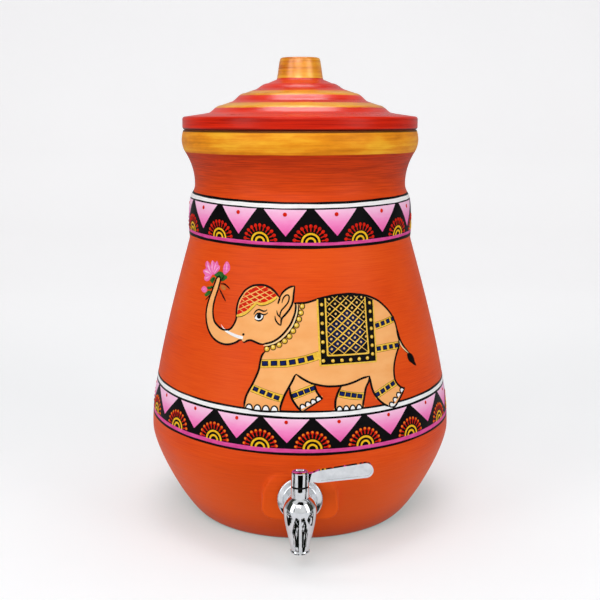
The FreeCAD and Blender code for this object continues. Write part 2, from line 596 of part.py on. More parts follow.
# ---------------------------------------------------------------- lever
def lever():
    arm = newBody("lever", height="tap_height + %s" % hubFoot, reach=valveReach)
    well = "socket_depth + web_thickness"
    capSeat = "socket_depth + web_thickness + well_depth"
    turned(arm, "hub_form", "Revolution", "XZ_Plane", "V_Axis", ("0", "0"), [
        ("line", "hub_radius - hub_chamfer", "0"),
        ("line", "hub_radius", "hub_chamfer"),
        ("line", "hub_radius", hubHeight + " - hub_chamfer"),
        ("line", "hub_radius - hub_chamfer", hubHeight),
        ("line", "0", hubHeight),
        ("line", "0", "0"),
    ])

    def edge(along, depth, side):
        """A point of the blade's upper or lower edge."""
        height = "blade_middle + blade_rise * (%s) / blade_length %s (%s) / 2" % (along, side, depth)
        return along, height

    tipCentre = "blade_length - blade_end_depth / 2"
    blade = newSketch(arm, "blade_outline", "XZ_Plane")
    outline(blade, edge("hub_radius / 2", "neck_depth", "-"), [
        ("line", *edge("1.15 * hub_radius", "neck_depth", "-")),
        ("curve", *edge("1.75 * hub_radius", "neck_depth", "-"),
         *edge("blade_start - 4", "blade_start_depth", "-"),
         *edge("blade_start", "blade_start_depth", "-")),
        ("line", *edge(tipCentre, "blade_end_depth", "-")),
        ("arc", *edge(tipCentre, "blade_end_depth", "+"), "blade_end_depth / 2 + 0.01", "left"),
        ("line", *edge("blade_start", "blade_start_depth", "+")),
        ("curve", *edge("blade_start - 4", "blade_start_depth", "+"),
         *edge("1.75 * hub_radius", "neck_depth", "+"), *edge("1.15 * hub_radius", "neck_depth", "+")),
        ("line", *edge("hub_radius / 2", "neck_depth", "+")),
        ("line", *edge("hub_radius / 2", "neck_depth", "-")),
    ])
    pressed(arm, "blade", "Pad", blade, "blade_thickness", midplane=True)
    # the front of the blade is a bare panel inside a raised frame
    panel = newSketch(arm, "panel_outline", "XZ_Plane")
    bind(panel, "AttachmentOffset.Base.z", "blade_thickness / 2 - panel_depth")
    inner = "blade_end_depth - 2 * blade_frame"
    outline(panel, edge("blade_start", "blade_start_depth - 2 * blade_frame", "-"), [
        ("line", *edge(tipCentre, inner, "-")),
        ("arc", *edge(tipCentre, inner, "+"), "(%s) / 2 + 0.01" % inner, "left"),
        ("line", *edge("blade_start", "blade_start_depth - 2 * blade_frame", "+")),
        ("line", *edge("blade_start", "blade_start_depth - 2 * blade_frame", "-")),
    ])
    pressed(arm, "panel", "Pocket", panel, "blade_thickness", reversed=True)
    turned(arm, "screw_hole", "Groove", "XZ_Plane", "V_Axis",
           *box("0", "socket_depth / 2", "screw_radius + 2 * screw_play", hubHeight))
    turned(arm, "screw_well", "Groove", "XZ_Plane", "V_Axis",
           *box("0", well, "screw_well_radius", hubHeight))
    turned(arm, "cap_recess", "Groove", "XZ_Plane", "V_Axis",
           *box("0", capSeat, "cap_radius", hubHeight))
    # socket with two flats, the stem's shape with a little play
    socket = newSketch(arm, "socket_outline", "XY_Plane")
    flatHalf = "(stem_flats / 2 + socket_play)"
    roundRadius = "(stem_radius + socket_play)"
    chord = "sqrt(%s ^ 2 - %s ^ 2)" % (roundRadius, flatHalf)
    outline(socket, ("-" + chord, "-" + flatHalf), [
        ("line", chord, "-" + flatHalf),
        ("arc", chord, flatHalf, roundRadius, "left"),
        ("line", "-" + chord, flatHalf),
        ("arc", "-" + chord, "-" + flatHalf, roundRadius, "left"),
    ])
    pressed(arm, "socket", "Pocket", socket, "socket_depth", reversed=True)
    return arm


def leverScrew():
    screw = newBody("lever_screw", height="tap_height + %s" % screwSeat, reach=valveReach)
    turned(screw, "screw_form", "Revolution", "XZ_Plane", "V_Axis", ("0", "-screw_length"), [
        ("line", "screw_radius - 0.3", "-screw_length"),
        ("line", "screw_radius", "-screw_length + 0.6"),
        ("line", "screw_radius", "0"),
        ("line", "screw_head_radius", "0"),
        ("line", "screw_head_radius", "screw_head_height / 2"),
        ("curve", "screw_head_radius", "0.8 * screw_head_height",
         "0.8 * screw_head_radius", "screw_head_height", "0.5 * screw_head_radius", "screw_head_height"),
        ("line", "0", "screw_head_height"),
        ("line", "0", "-screw_length"),
    ])
    return screw


def leverCap():
    cap = newBody("lever_cap", height="tap_height + %s - cap_sink" % hubTop, reach=valveReach)
    turned(cap, "cap_form", "Revolution", "XZ_Plane", "V_Axis", ("0", "-cap_thickness"), [
        ("line", "cap_radius - screw_play", "-cap_thickness"),
        ("line", "cap_radius - screw_play", "0"),
        ("line", "0.75 * cap_radius", "0"),
        ("line", "0.7 * cap_radius", "-0.3 * cap_thickness"),
        ("line", "0", "-0.2 * cap_thickness"),
        ("line", "0", "-cap_thickness"),
    ])
    return cap


# ---------------------------------------------------------------- all pieces
onShank = "shank_radius + thread_play"
pieces = [
    clayPot(),
    clayLid(),
    tapBody(),
    ringOnShank("front_gasket", flangeBack, "gasket_thickness", "gasket_radius", onShank),
    ringOnShank("rear_gasket", seatPlane, "gasket_thickness", "gasket_radius", onShank),
    ringOnShank("backing_washer", washerStart, "washer_thickness", "washer_radius", onShank),
    backNut(),
    portSeal(),
    valvePlug(),
    plugRings(),
    stemWasher(),
    lever(),
    leverScrew(),
    leverCap(),
]
doc.recompute()

for thing in doc.Objects:
    if "Invalid" in thing.State or "Error" in thing.State:
        raise RuntimeError("%s failed: %s" % (thing.Label, thing.State))
for piece in pieces:
    if piece.Shape.isNull() or not piece.Shape.isValid() or not piece.Shape.Solids:
        raise RuntimeError("%s has no valid shape" % piece.Label)

os.makedirs("parts", exist_ok=True)
for piece in pieces:
    piece.Shape.exportStep("parts/%s.step" % piece.Label)
    extent = piece.Shape.optimalBoundingBox()
    print("%-15s %d solid(s) %10.1f mm3  z %.1f to %.1f" % (
        piece.Label, len(piece.Shape.Solids), piece.Shape.Volume, extent.ZMin, extent.ZMax))
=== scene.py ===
import math
from functools import partial

import bmesh
import bpy
from mathutils import Matrix, Vector
from mathutils.geometry import tessellate_polygon


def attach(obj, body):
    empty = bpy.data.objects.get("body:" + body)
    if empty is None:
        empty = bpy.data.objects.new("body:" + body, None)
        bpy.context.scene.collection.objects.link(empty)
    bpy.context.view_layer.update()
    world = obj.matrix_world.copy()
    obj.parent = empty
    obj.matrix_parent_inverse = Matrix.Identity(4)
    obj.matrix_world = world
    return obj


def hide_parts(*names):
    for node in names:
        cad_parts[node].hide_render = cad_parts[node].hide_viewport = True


# Clay water pot with a tap.  Metres; the pot stands on z = 0 and the tap looks along -Y.
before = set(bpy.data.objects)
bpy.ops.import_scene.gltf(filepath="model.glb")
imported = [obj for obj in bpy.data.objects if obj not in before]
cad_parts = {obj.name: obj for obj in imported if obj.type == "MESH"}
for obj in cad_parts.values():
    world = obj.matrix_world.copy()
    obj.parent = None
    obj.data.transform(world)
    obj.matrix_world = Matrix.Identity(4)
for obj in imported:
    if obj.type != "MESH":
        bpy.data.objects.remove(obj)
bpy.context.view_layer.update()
mm = 0.001
print("frame loaded")


def placed(name, data):
    # a new object in the scene
    thing = bpy.data.objects.new(name, data)
    bpy.context.scene.collection.objects.link(thing)
    return thing


# camera
cameraValues = {"distance": 0.879, "height": 0.347, "tiltDown": 10.4, "lens": 60.0, "sensor": 36.0}

camera = placed("camera", bpy.data.cameras.new("camera"))
camera.data.lens = cameraValues["lens"]
camera.data.sensor_width = cameraValues["sensor"]
camera.data.dof.use_dof = False
camera.data.clip_start = 0.01
camera.location = (0, -cameraValues["distance"], cameraValues["height"])
camera.rotation_euler = (math.radians(90 - cameraValues["tiltDown"]), 0, 0)
bpy.context.scene.camera = camera
bpy.context.scene.view_settings.view_transform = "Standard"
print("camera placed")


# small helpers
def tint(red, green, blue):
    # screen colour, 0 to 255, as the linear colour that shaders take
    def linear(share):
        return share / 12.92 if share <= 0.04045 else ((share + 0.055) / 1.055) ** 2.4
    return (linear(red / 255), linear(green / 255), linear(blue / 255), 1.0)


def wire(node, wires):
    # wires holds values or sockets by the input's name or number
    for key, value in wires.items():
        if isinstance(value, bpy.types.NodeSocket):
            node.id_data.links.new(value, node.inputs[key])
        else:
            node.inputs[key].default_value = value
    return node


def add(tree, kind, wires=None, **settings):
    # one node with its settings and inputs
    node = tree.nodes.new(kind)
    for name, value in settings.items():
        setattr(node, name, value)
    return wire(node, wires or {})


def calc(tree, kind, *values):
    # one arithmetic step on numbers or sockets
    return add(tree, "ShaderNodeMath", dict(enumerate(values)), operation=kind).outputs[0]


def split(tree, vector):
    return add(tree, "ShaderNodeSeparateXYZ", {0: vector}).outputs


def combined(tree, x=0.0, y=0.0, z=0.0):
    return add(tree, "ShaderNodeCombineXYZ", {0: x, 1: y, 2: z}).outputs[0]


def newTree(name, inputs):
    # a geometry tree whose named inputs are given as (name, kind, value)
    tree = bpy.data.node_groups.new(name, "GeometryNodeTree")
    tree.interface.new_socket("Geometry", in_out="INPUT", socket_type="NodeSocketGeometry")
    for label, kind, value in inputs:
        socket = tree.interface.new_socket(label, in_out="INPUT", socket_type="NodeSocket" + kind)
        if value is not None:
            socket.default_value = value
    tree.interface.new_socket("Geometry", in_out="OUTPUT", socket_type="NodeSocketGeometry")
    entry = tree.nodes.new("NodeGroupInput")
    return tree, entry.outputs


def changed(tree, geometry, kind, wires=None, **settings):
    # one step that takes a geometry and gives it on
    return add(tree, "GeometryNode" + kind, {"Geometry": geometry, **(wires or {})}, **settings).outputs[0]


def leaveTree(tree, geometry, coats):
    # make all copies real, put each material on its faces and end the tree
    geometry = changed(tree, geometry, "RealizeInstances")
    for material, faces in coats:
        geometry = changed(tree, geometry, "SetMaterial", {"Material": material, "Selection": faces})
    add(tree, "NodeGroupOutput", {0: geometry})
    return tree


def grown(name, mesh, tree, values):
    # run one tree on a mesh and keep the result as a plain mesh
    thing = placed(name, mesh)
    modifier = thing.modifiers.new(tree.name, "NODES")
    modifier.node_group = tree
    for item in tree.interface.items_tree:
        if item.in_out == "INPUT" and item.name in values:
            modifier[item.identifier] = values[item.name]
    bpy.context.view_layer.update()
    result = bpy.data.meshes.new_from_object(thing.evaluated_get(bpy.context.evaluated_depsgraph_get()))
    thing.modifiers.clear()
    thing.data = result
    result.name = name
    return thing


def outward(thing):
    # make the faces of a closed mesh look out
    work = bmesh.new()
    work.from_mesh(thing.data)
    bmesh.ops.recalc_face_normals(work, faces=work.faces)
    work.to_mesh(thing.data)
    work.free()
    return thing


def pointMesh(name, points, marks=None):
    # loose points, with one number each if marks are given
    mesh = bpy.data.meshes.new(name)
    mesh.from_pydata(points, [], [])
    if marks:
        mesh.attributes.new("mark", "FLOAT", "POINT").data.foreach_set("value", marks)
    return mesh


# outlines turned about the upright axis
def cubic(here, handleOne, handleTwo, there, count):
    points = []
    for step in range(1, count + 1):
        t = step / count
        a, b, c, d = (1 - t) ** 3, 3 * (1 - t) ** 2 * t, 3 * (1 - t) * t * t, t ** 3
        points.append(tuple(a * p + b * q + c * r + d * s
                            for p, q, r, s in zip(here, handleOne, handleTwo, there)))
    return points


def bend(here, there, bulge, count):
    # arc over the chord; it bulges to the right of the way travelled, or to the left if negative
    start, end = Vector(here), Vector(there)
    chord = end - start
    side = Vector((chord.y, -chord.x)).normalized() * (1 if bulge > 0 else -1)
    radius = chord.length_squared / (8 * abs(bulge)) + abs(bulge) / 2
    centre = (start + end) / 2 + side * (abs(bulge) - radius)
    first = math.atan2(start.y - centre.y, start.x - centre.x)
    sweep = (end - centre).angle_signed(start - centre)
    return [(centre.x + radius * math.cos(first + sweep * step / count),
             centre.y + radius * math.sin(first + sweep * step / count)) for step in range(1, count + 1)]


def outline(start, moves):
    # moves are ("line", x, y, count), ("bend", x, y, bulge, count) and ("curve", x1, y1, x2, y2, x, y, count)
    points = [start]
    for move in moves:
        here = points[-1]
        if move[0] == "line":
            points += [tuple(h + (t - h) * step / move[3] for h, t in zip(here, move[1:3]))
                       for step in range(1, move[3] + 1)]
        elif move[0] == "bend":
            points += bend(here, move[1:3], move[3], move[4])
        else:
            points += cubic(here, move[1:3], move[3:5], move[5:7], move[7])
    return points


def buildTurnedTree():
    # the line of points, turned about the upright axis, with a flat pad in front if it reaches out
    tree, given = newTree("turnedForm", [
        ("Columns", "Int", 300), ("Front detail", "Float", 0.0),
        ("Pad reach", "Float", 0.0), ("Pad half width", "Float", 0.03), ("Pad middle", "Float", 0.052),
        ("Pad half height", "Float", 0.022), ("Pad lower corner", "Float", 0.013),
        ("Pad upper corner", "Float", 0.022), ("Pad rounding", "Float", 0.0035),
        ("Pad outer rounding", "Float", 0.0012), ("Front from", "Float", 0.5),
        ("Join distance", "Float", 0.00001), ("Outside", "Material", None), ("Inside", "Material", None)])
    m = partial(calc, tree)
    source = given["Geometry"]
    count = add(tree, "GeometryNodeAttributeDomainSize", {"Geometry": source}).outputs["Point Count"]
    grid = add(tree, "GeometryNodeMeshGrid", {
        "Size X": 1.0, "Size Y": 1.0, "Vertices X": m("ADD", given["Columns"], 1),
        "Vertices Y": count}).outputs["Mesh"]
    position = add(tree, "GeometryNodeInputPosition").outputs[0]
    place = split(tree, position)
    share = m("ADD", place[0], 0.5)
    row = m("ROUND", m("MULTIPLY", m("ADD", place[1], 0.5), m("SUBTRACT", count, 1)))
    point = add(tree, "GeometryNodeSampleIndex", {"Geometry": source, "Value": position, "Index": row},
                data_type="FLOAT_VECTOR")
    mark = add(tree, "GeometryNodeSampleIndex", {
        "Geometry": source, "Index": row,
        "Value": add(tree, "GeometryNodeInputNamedAttribute", {"Name": "mark"}).outputs["Attribute"]})
    radius, _, height = split(tree, point.outputs[0])
    full = m("MULTIPLY", share, 2 * math.pi)
    turn = m("ADD", full, m("MULTIPLY", given["Front detail"], m("SINE", full)))
    # the flat pad is a raised field in front, with a rounded outline
    across = m("ABSOLUTE", m("MULTIPLY", radius, m("SINE", turn)))
    above = m("SUBTRACT", height, given["Pad middle"])
    upper = m("GREATER_THAN", above, 0.0)
    corner = m("ADD", m("MULTIPLY", given["Pad upper corner"], upper),
               m("MULTIPLY", given["Pad lower corner"], m("SUBTRACT", 1.0, upper)))
    sideways = m("ADD", m("SUBTRACT", across, given["Pad half width"]), corner)
    upright = m("ADD", m("SUBTRACT", m("ABSOLUTE", above), given["Pad half height"]), corner)
    outside = m("SQRT", m("ADD", m("POWER", m("MAXIMUM", sideways, 0.0), 2.0),
                          m("POWER", m("MAXIMUM", upright, 0.0), 2.0)))
    inset = m("SUBTRACT", corner, m("ADD", outside, m("MINIMUM", m("MAXIMUM", sideways, upright), 0.0)))
    edge = add(tree, "ShaderNodeMapRange", {
        "Value": inset, "From Min": m("MULTIPLY", given["Pad outer rounding"], -1.0),
        "From Max": given["Pad rounding"]}, interpolation_type="SMOOTHERSTEP").outputs[0]
    ahead = m("MULTIPLY", m("COSINE", turn), -1.0)
    face = m("DIVIDE", given["Pad reach"], m("MAXIMUM", ahead, given["Front from"]))
    onlyFront = m("MULTIPLY", m("GREATER_THAN", ahead, given["Front from"]),
                  m("LESS_THAN", mark.outputs[0], 0.5))
    raised = m("MULTIPLY", m("MAXIMUM", m("SUBTRACT", face, radius), 0.0), m("MULTIPLY", edge, onlyFront))
    reach = m("ADD", radius, raised)
    position = combined(tree, m("MULTIPLY", m("MULTIPLY", reach, m("SINE", turn)), -1.0),
                        m("MULTIPLY", reach, m("COSINE", turn)), height)
    form = changed(tree, grid, "StoreNamedAttribute", {"Name": "inside", "Value": mark.outputs[0]})
    form = changed(tree, form, "SetPosition", {"Position": position})
    form = changed(tree, form, "MergeByDistance", {"Distance": given["Join distance"]})
    form = changed(tree, form, "SetShadeSmooth", {"Shade Smooth": True})
    inside = add(tree, "GeometryNodeInputNamedAttribute", {"Name": "inside"}).outputs["Attribute"]
    within = m("GREATER_THAN", inside, 0.5)
    return leaveTree(tree, form, [(given["Outside"], True), (given["Inside"], within)])


turnedTree = buildTurnedTree()


# materials
def newMaterial(name):
    material = bpy.data.materials.new(name)
    material.use_nodes = True
    tree = material.node_tree
    return material, tree, tree.nodes["Principled BSDF"]


def ownPlace(tree):
    # x, y and z of the surface in the piece's own coordinates
    return split(tree, add(tree, "ShaderNodeTexCoord").outputs["Object"])


def noise(tree, stretch, scale, detail=4.0, rough=0.55):
    # noise in the piece's own coordinates, stretched along its axes
    coordinates = add(tree, "ShaderNodeTexCoord").outputs["Object"]
    mapped = add(tree, "ShaderNodeMapping", {0: coordinates, "Scale": stretch}).outputs[0]
    return add(tree, "ShaderNodeTexNoise", {
        "Vector": mapped, "Scale": scale, "Detail": detail, "Roughness": rough}).outputs["Fac"]


def ramp(tree, value, stops):
    # stops are (position, screen colour)
    node = add(tree, "ShaderNodeValToRGB", {0: value})
    while len(node.color_ramp.elements) < len(stops):
        node.color_ramp.elements.new(0.5)
    for element, (position, color) in zip(node.color_ramp.elements, stops):
        element.position = position
        element.color = tint(*color)
    return node.outputs[0]


def blend(tree, share, first, second):
    return add(tree, "ShaderNodeMix", {0: share, 6: first, 7: second}, data_type="RGBA").outputs[2]


def spread(tree, value, low, high, atLow=0.0, atHigh=1.0):
    # a soft step between two levels
    return add(tree, "ShaderNodeMapRange", {
        0: value, "From Min": low, "From Max": high, "To Min": atLow, "To Max": atHigh},
        interpolation_type="SMOOTHSTEP").outputs[0]


def uneven(tree, value, low, high):
    # a number that varies with the brush marks
    return add(tree, "ShaderNodeMapRange", {0: value, "To Min": low, "To Max": high}).outputs[0]


def bump(tree, value, distance):
    return add(tree, "ShaderNodeBump", {"Height": value, "Distance": distance, "Strength": 1.0}).outputs[0]


def paint(name, light, dark, roughness, grain, scale, relief, metal=0.0, shine=0.06):
    # one brushed colour: two close tones, uneven gloss and a little relief
    material, tree, shader = newMaterial(name)
    value = noise(tree, grain, scale)
    wire(shader, {
        "Base Color": ramp(tree, value, [(0.3, dark), (0.7, light)]), "Metallic": metal,
        "Roughness": uneven(tree, value, roughness - 0.08, roughness + 0.1),
        "Specular IOR Level": shine, "Normal": bump(tree, value, relief)})
    return material


def goldBrushed(tree, values):
    # gold paint laid on with a brush while the piece turns
    lines = calc(tree, "MULTIPLY", noise(tree, (6, 6, 220), 1.6, 5.0, 0.6), 0.4)
    patches = calc(tree, "MULTIPLY", noise(tree, (3, 3, 12), 7.0, 4.0, 0.6), 0.6)
    return ramp(tree, calc(tree, "ADD", lines, patches), [
        (0.38, values["goldDark"]), (0.5, values["goldMiddle"]), (0.62, values["gold"])])


# a fade holds two heights in metres and, if they aren't 0 and 1, its share at each
potPaintValues = {
    # the low colour is painted light on the lower body; foot, the neck's two tones and gap are painted shade;
    # bare is the rim's own clay
    "light": (236, 86, 16), "middle": (230, 76, 8), "dark": (216, 64, 5), "low": (244, 94, 20),
    "foot": (178, 46, 6), "shadedNeckDark": (162, 39, 2), "shadedNeckLight": (212, 60, 6),
    "gap": (44, 16, 4), "bare": (186, 98, 60),
    "gold": (255, 186, 46), "goldMiddle": (242, 150, 22), "goldDark": (212, 120, 10),
    "paintedLowLightFade": (0.03, 0.09, 0.7, 0.0), "footShadeFade": (0.0, 0.03, 0.4, 0.0),
    "neckShadeFade": (0.27, 0.318, 0.0, 0.95), "giltFade": (0.3176, 0.3182),
    "gapShadowFade": (0.3338, 0.335, 0.0, 0.92), "bareFade": (0.3355, 0.3359),
    "streaks": ((9, 9, 260), 1.6, 5.0, 0.6), "fine": ((34, 34, 1100), 1.2, 3.0, 0.6),
    "blotch": ((1, 1, 1.6), 9.0, 3.0), "waver": 0.001,
    "roughness": (0.32, 0.54), "shine": 0.13, "metal": 0.05, "relief": 0.00022,
}


def buildPotPaint(values):
    # orange-red paint brushed round the pot on the wheel, with a gold rim; painted shade darkens the neck
    # under the rim, the foot and the rim's top under the lid, and painted light brightens the lower body
    material, tree, shader = newMaterial("potPaint")
    m = partial(calc, tree)
    height = ownPlace(tree)[2]
    streaks = noise(tree, *values["streaks"])
    mixed = m("ADD", m("MULTIPLY", streaks, 0.3), m("MULTIPLY", noise(tree, *values["fine"]), 0.7))
    tone = m("ADD", m("MULTIPLY", mixed, 0.55), m("MULTIPLY", noise(tree, *values["blotch"]), 0.45))
    color = ramp(tree, tone, [(0.37, values["dark"]), (0.5, values["middle"]), (0.63, values["light"])])
    shadedNeck = ramp(tree, mixed, [(0.38, values["shadedNeckDark"]), (0.62, values["shadedNeckLight"])])
    wavering = m("ADD", height, m("MULTIPLY", noise(tree, (1, 1, 1), 30.0), values["waver"]))
    gilt = spread(tree, wavering, *values["giltFade"])
    for share, coat in (
            # painted light: the lower body is brightened as if lit from the floor
            (spread(tree, height, *values["paintedLowLightFade"]), tint(*values["low"])),
            # painted shade: the foot darkens where it meets the floor
            (spread(tree, height, *values["footShadeFade"]), tint(*values["foot"])),
            # painted shade: the neck darkens towards the rim above it
            (spread(tree, height, *values["neckShadeFade"]), shadedNeck),
            (gilt, goldBrushed(tree, values)),
            # painted shadow: a dark line on the rim's top under the lid
            (spread(tree, height, *values["gapShadowFade"]), tint(*values["gap"])),
            (spread(tree, height, *values["bareFade"]), tint(*values["bare"]))):
        color = blend(tree, share, color, coat)
    wire(shader, {
        "Base Color": color, "Metallic": m("MULTIPLY", gilt, values["metal"]),
        "Roughness": uneven(tree, streaks, *values["roughness"]),
        "Specular IOR Level": values["shine"], "Normal": bump(tree, mixed, values["relief"])})
    return material


potPaint = buildPotPaint(potPaintValues)
rawClay = paint("rawClay", (196, 104, 66), (168, 82, 50), 0.8, (1, 1, 6), 40.0, 0.0003)
print("first materials made")


# clay pot
potValues = {"columns": 360, "frontDetail": 0.6, "padReach": 131.0, "start": (0, 0)}
potOutside = [
    ("line", 91, 0, 6),
    ("curve", 100.5, 0, 132.5, 58.5, 132.5, 78, 84),
    ("curve", 132.5, 128, 96.7, 240.5, 96.7, 244, 60),
    ("curve", 97.4, 247.5, 97.4, 268, 96.1, 275, 10),
    ("curve", 95.5, 282.75, 91.4, 282.75, 91.4, 290.5, 8),
    ("bend", 99.8, 318, -2.1, 10),
    ("bend", 101, 334.2, 1.63, 8),
    ("bend", 99.2, 336, 0.527, 4),
]
potInside = [
    ("line", 89, 336, 2),
    ("bend", 86, 333, -0.87, 4),
    ("curve", 86, 313.25, 82.4, 313.25, 82.4, 290.5, 8),
    ("curve", 82.4, 267.25, 87.7, 267.25, 87.7, 244, 8),
    ("curve", 87.7, 240.5, 123.5, 125.75, 123.5, 78, 22),
    ("curve", 123.5, 56.25, 94, 12, 78, 12, 22),
    ("line", 0, 12, 5),
]


def turnedPiece(name, outside, inside, coat, values):
    # both lines are in millimetres; the inside stays bare clay
    points = [(x * mm, 0, z * mm) for x, z in outside + inside]
    mesh = pointMesh(name, points, [0.0] * len(outside) + [1.0] * len(inside))
    return outward(grown(name, mesh, turnedTree, {
        "Columns": values["columns"], "Front detail": values["frontDetail"],
        "Pad reach": values["padReach"] * mm, "Outside": coat, "Inside": rawClay}))


wallPoints = outline(potValues["start"], potOutside)
innerPoints = outline(wallPoints[-1], potInside)[1:]
pot = turnedPiece("clayPotForm", wallPoints, innerPoints, potPaint, potValues)
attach(pot, "pot")
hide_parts("clay_pot")
print("pot form", len(pot.data.polygons))


# lid
lidValues = {
    "columns": 300, "frontDetail": 0.3, "padReach": 0.0, "start": (80, 0), "rim": 336.0,
    # the rim's two tones are a painted shade on its side band, and the gap colour is a painted shadow at the
    # lid's foot
    "light": (236, 46, 6), "dark": (210, 28, 3), "shadedRimLight": (226, 38, 4), "shadedRimDark": (180, 22, 2),
    "gap": (56, 8, 2), "gold": (255, 190, 48), "goldMiddle": (244, 158, 26), "goldDark": (210, 114, 8),
    "rings": ((42.6, 52.8), (62, 73.4)), "ringEdge": 0.7, "ringsFrom": 0.345, "knobFade": (0.3786, 0.3792),
    "rimShadeFade": (0.3462, 0.3474, 1.0, 0.0), "gapShadowFade": (0.3364, 0.338, 0.92, 0.0),
    "shineFade": (0.347, 0.35, 0.15, 0.9), "waver": 0.0022, "brush": ((6, 6, 300), 1.4, 5.0, 0.6),
    "roughness": (0.19, 0.39), "metal": 0.1, "relief": 0.00025,
}


def buildLidPaint(values):
    # red gloss with two gold rings and a gold knob, brushed on by hand
    material, tree, shader = newMaterial("lidPaint")
    m = partial(calc, tree)
    x, y, height = ownPlace(tree)
    edge = values["ringEdge"]
    waver = m("MULTIPLY", m("SUBTRACT", noise(tree, (1, 1, 1), 34.0), 0.5), values["waver"])
    reach = m("ADD", m("SQRT", m("ADD", m("POWER", x, 2.0), m("POWER", y, 2.0))), waver)
    gilt = spread(tree, m("ADD", height, waver), *values["knobFade"])
    for low, high in values["rings"]:
        ring = m("MULTIPLY", spread(tree, reach, low * mm, (low + edge) * mm),
                 spread(tree, reach, (high - edge) * mm, high * mm, 1.0, 0.0))
        gilt = m("MAXIMUM", gilt, m("MULTIPLY", ring, m("GREATER_THAN", height, values["ringsFrom"])))
    turned = noise(tree, *values["brush"])
    color = ramp(tree, turned, [(0.35, values["dark"]), (0.62, values["light"])])
    rim = ramp(tree, turned, [(0.38, values["shadedRimDark"]), (0.6, values["shadedRimLight"])])
    # painted shade darkens the side band of the rim, and a painted shadow darkens its foot where it sits on
    # the pot
    color = blend(tree, spread(tree, height, *values["rimShadeFade"]), color, rim)
    color = blend(tree, spread(tree, height, *values["gapShadowFade"]), color, tint(*values["gap"]))
    wire(shader, {
        "Base Color": blend(tree, gilt, color, goldBrushed(tree, values)),
        "Metallic": m("MULTIPLY", gilt, values["metal"]),
        "Roughness": uneven(tree, turned, *values["roughness"]),
        "Specular IOR Level": spread(tree, height, *values["shineFade"]),
        "Normal": bump(tree, turned, values["relief"])})
    return material


lidPaint = buildLidPaint(lidValues)
lidOutline = [
    ("line", 99, 0, 6), ("bend", 101.2, 2.2, 0.644, 4), ("line", 101.2, 8.8, 4), ("bend", 99, 11, 0.644, 4),
    ("line", 82, 13.5, 6), ("line", 78, 14.3, 2), ("curve", 75, 15.85, 72, 20.5, 68, 20.5, 9),
    ("line", 58, 23.8, 4), ("curve", 55, 25.5, 52, 30.6, 48, 30.6, 9),
    ("line", 38, 33.9, 4), ("curve", 35, 35.15, 32, 38.9, 28, 38.9, 9),
    ("line", 20, 42.2, 4), ("curve", 18.96, 46.775, 18.44, 53, 17.4, 58, 8),
    ("curve", 17, 60.2, 16, 60.5, 14.5, 60.5, 5), ("line", 0, 60.5, 4),
]
lidUnderside = [
    ("line", 0, 33.9, 2), ("curve", 26, 33.9, 68.5, 11, 73, 5.3, 14), ("line", 73, -11, 4),
    ("line", 74, -12, 1), ("line", 79, -12, 2), ("line", 80, -11, 1), ("line", 80, 0, 4),
]
lidTop = outline(lidValues["start"], lidOutline)
lidBelow = outline(lidTop[-1], lidUnderside)[1:]
lidLines = [[(x, z + lidValues["rim"]) for x, z in line] for line in (lidTop, lidBelow)]
lid = turnedPiece("clayLidForm", *lidLines, lidPaint, lidValues)
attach(lid, "lid")
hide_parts("clay_lid")
print("lid form", len(lid.data.polygons))


# flat shapes, in millimetres, before they go round the pot
surfaceValues = {"from": 82, "to": 335, "step": 1.0, "round": 114, "sunk": -0.12, "cell": 3.0}


def smooth(points, closed=False, step=1.2):
    # a soft line through the points, in short steps
    count = len(points)
    spans = count if closed else count - 1
    path = []
    for i in range(spans):
        if closed:
            p, q, r, s = (Vector(points[(i + k) % count]) for k in (-1, 0, 1, 2))
        else:
            q, r = Vector(points[i]), Vector(points[i + 1])
            p = Vector(points[i - 1]) if i else 2 * q - r
            s = Vector(points[i + 2]) if i + 2 < count else 2 * r - q
        pieces = max(1, round((r - q).length / step))
        for k in range(pieces):
            t = k / pieces
            path.append(0.5 * (2 * q + (r - p) * t + (2 * p - 5 * q + 4 * r - s) * t * t
                               + (3 * q - p - 3 * r + s) * t ** 3))
    if not closed:
        path.append(Vector(points[-1]))
    return path


def addStroke(sheet, points, width, thin=0.45, rise=0.0, soft=True):
    # a brush stroke of that width, thinner at both ends; rise lifts its middle line
    path = smooth(points) if soft else [Vector(p) for p in points]
    last = len(path) - 1
    rows = []
    for i, here in enumerate(path):
        way = (path[min(i + 1, last)] - path[max(i - 1, 0)]).normalized()
        near = min(1.0, min(i, last - i) / 3.0)
        side = Vector((-way.y, way.x)) * width / 2 * (thin + (1 - thin) * near)
        row = [(here + side, 0.0), (here - side, 0.0)]
        if rise:
            row.insert(1, (here, rise))
        rows.append([sheet.verts.new((p.x, lift, p.y)) for p, lift in row])
    for one, two in zip(rows, rows[1:]):
        for k in range(len(one) - 1):
            sheet.faces.new((one[k], one[k + 1], two[k + 1], two[k]))


def addPatch(sheet, points, soft=False):
    # a filled outline
    path = smooth(points, True, 2.0) if soft else [Vector(p) for p in points]
    corners = [sheet.verts.new((p.x, 0, p.y)) for p in path]
    for three in tessellate_polygon([[Vector((p.x, p.y, 0)) for p in path]]):
        if len(set(three)) == 3:
            sheet.faces.new([corners[i] for i in three])


def addDot(sheet, centre, radius, rise=0.0, high=None, sides=12):
    # a round or oval dot; rise makes it a low dome
    def ring(share, lift):
        turns = [2 * math.pi * k / sides for k in range(sides)]
        return [sheet.verts.new((centre[0] + share * radius * math.cos(turn), lift,
                                 centre[1] + share * (high or radius) * math.sin(turn))) for turn in turns]
    edge = ring(1.0, 0.0)
    if not rise:
        sheet.faces.new(edge)
        return
    upper = ring(0.7, rise * 0.62)
    top = sheet.verts.new((centre[0], rise, centre[1]))
    for k in range(sides):
        j = (k + 1) % sides
        sheet.faces.new((edge[k], edge[j], upper[j], upper[k]))
        sheet.faces.new((upper[k], upper[j], top))


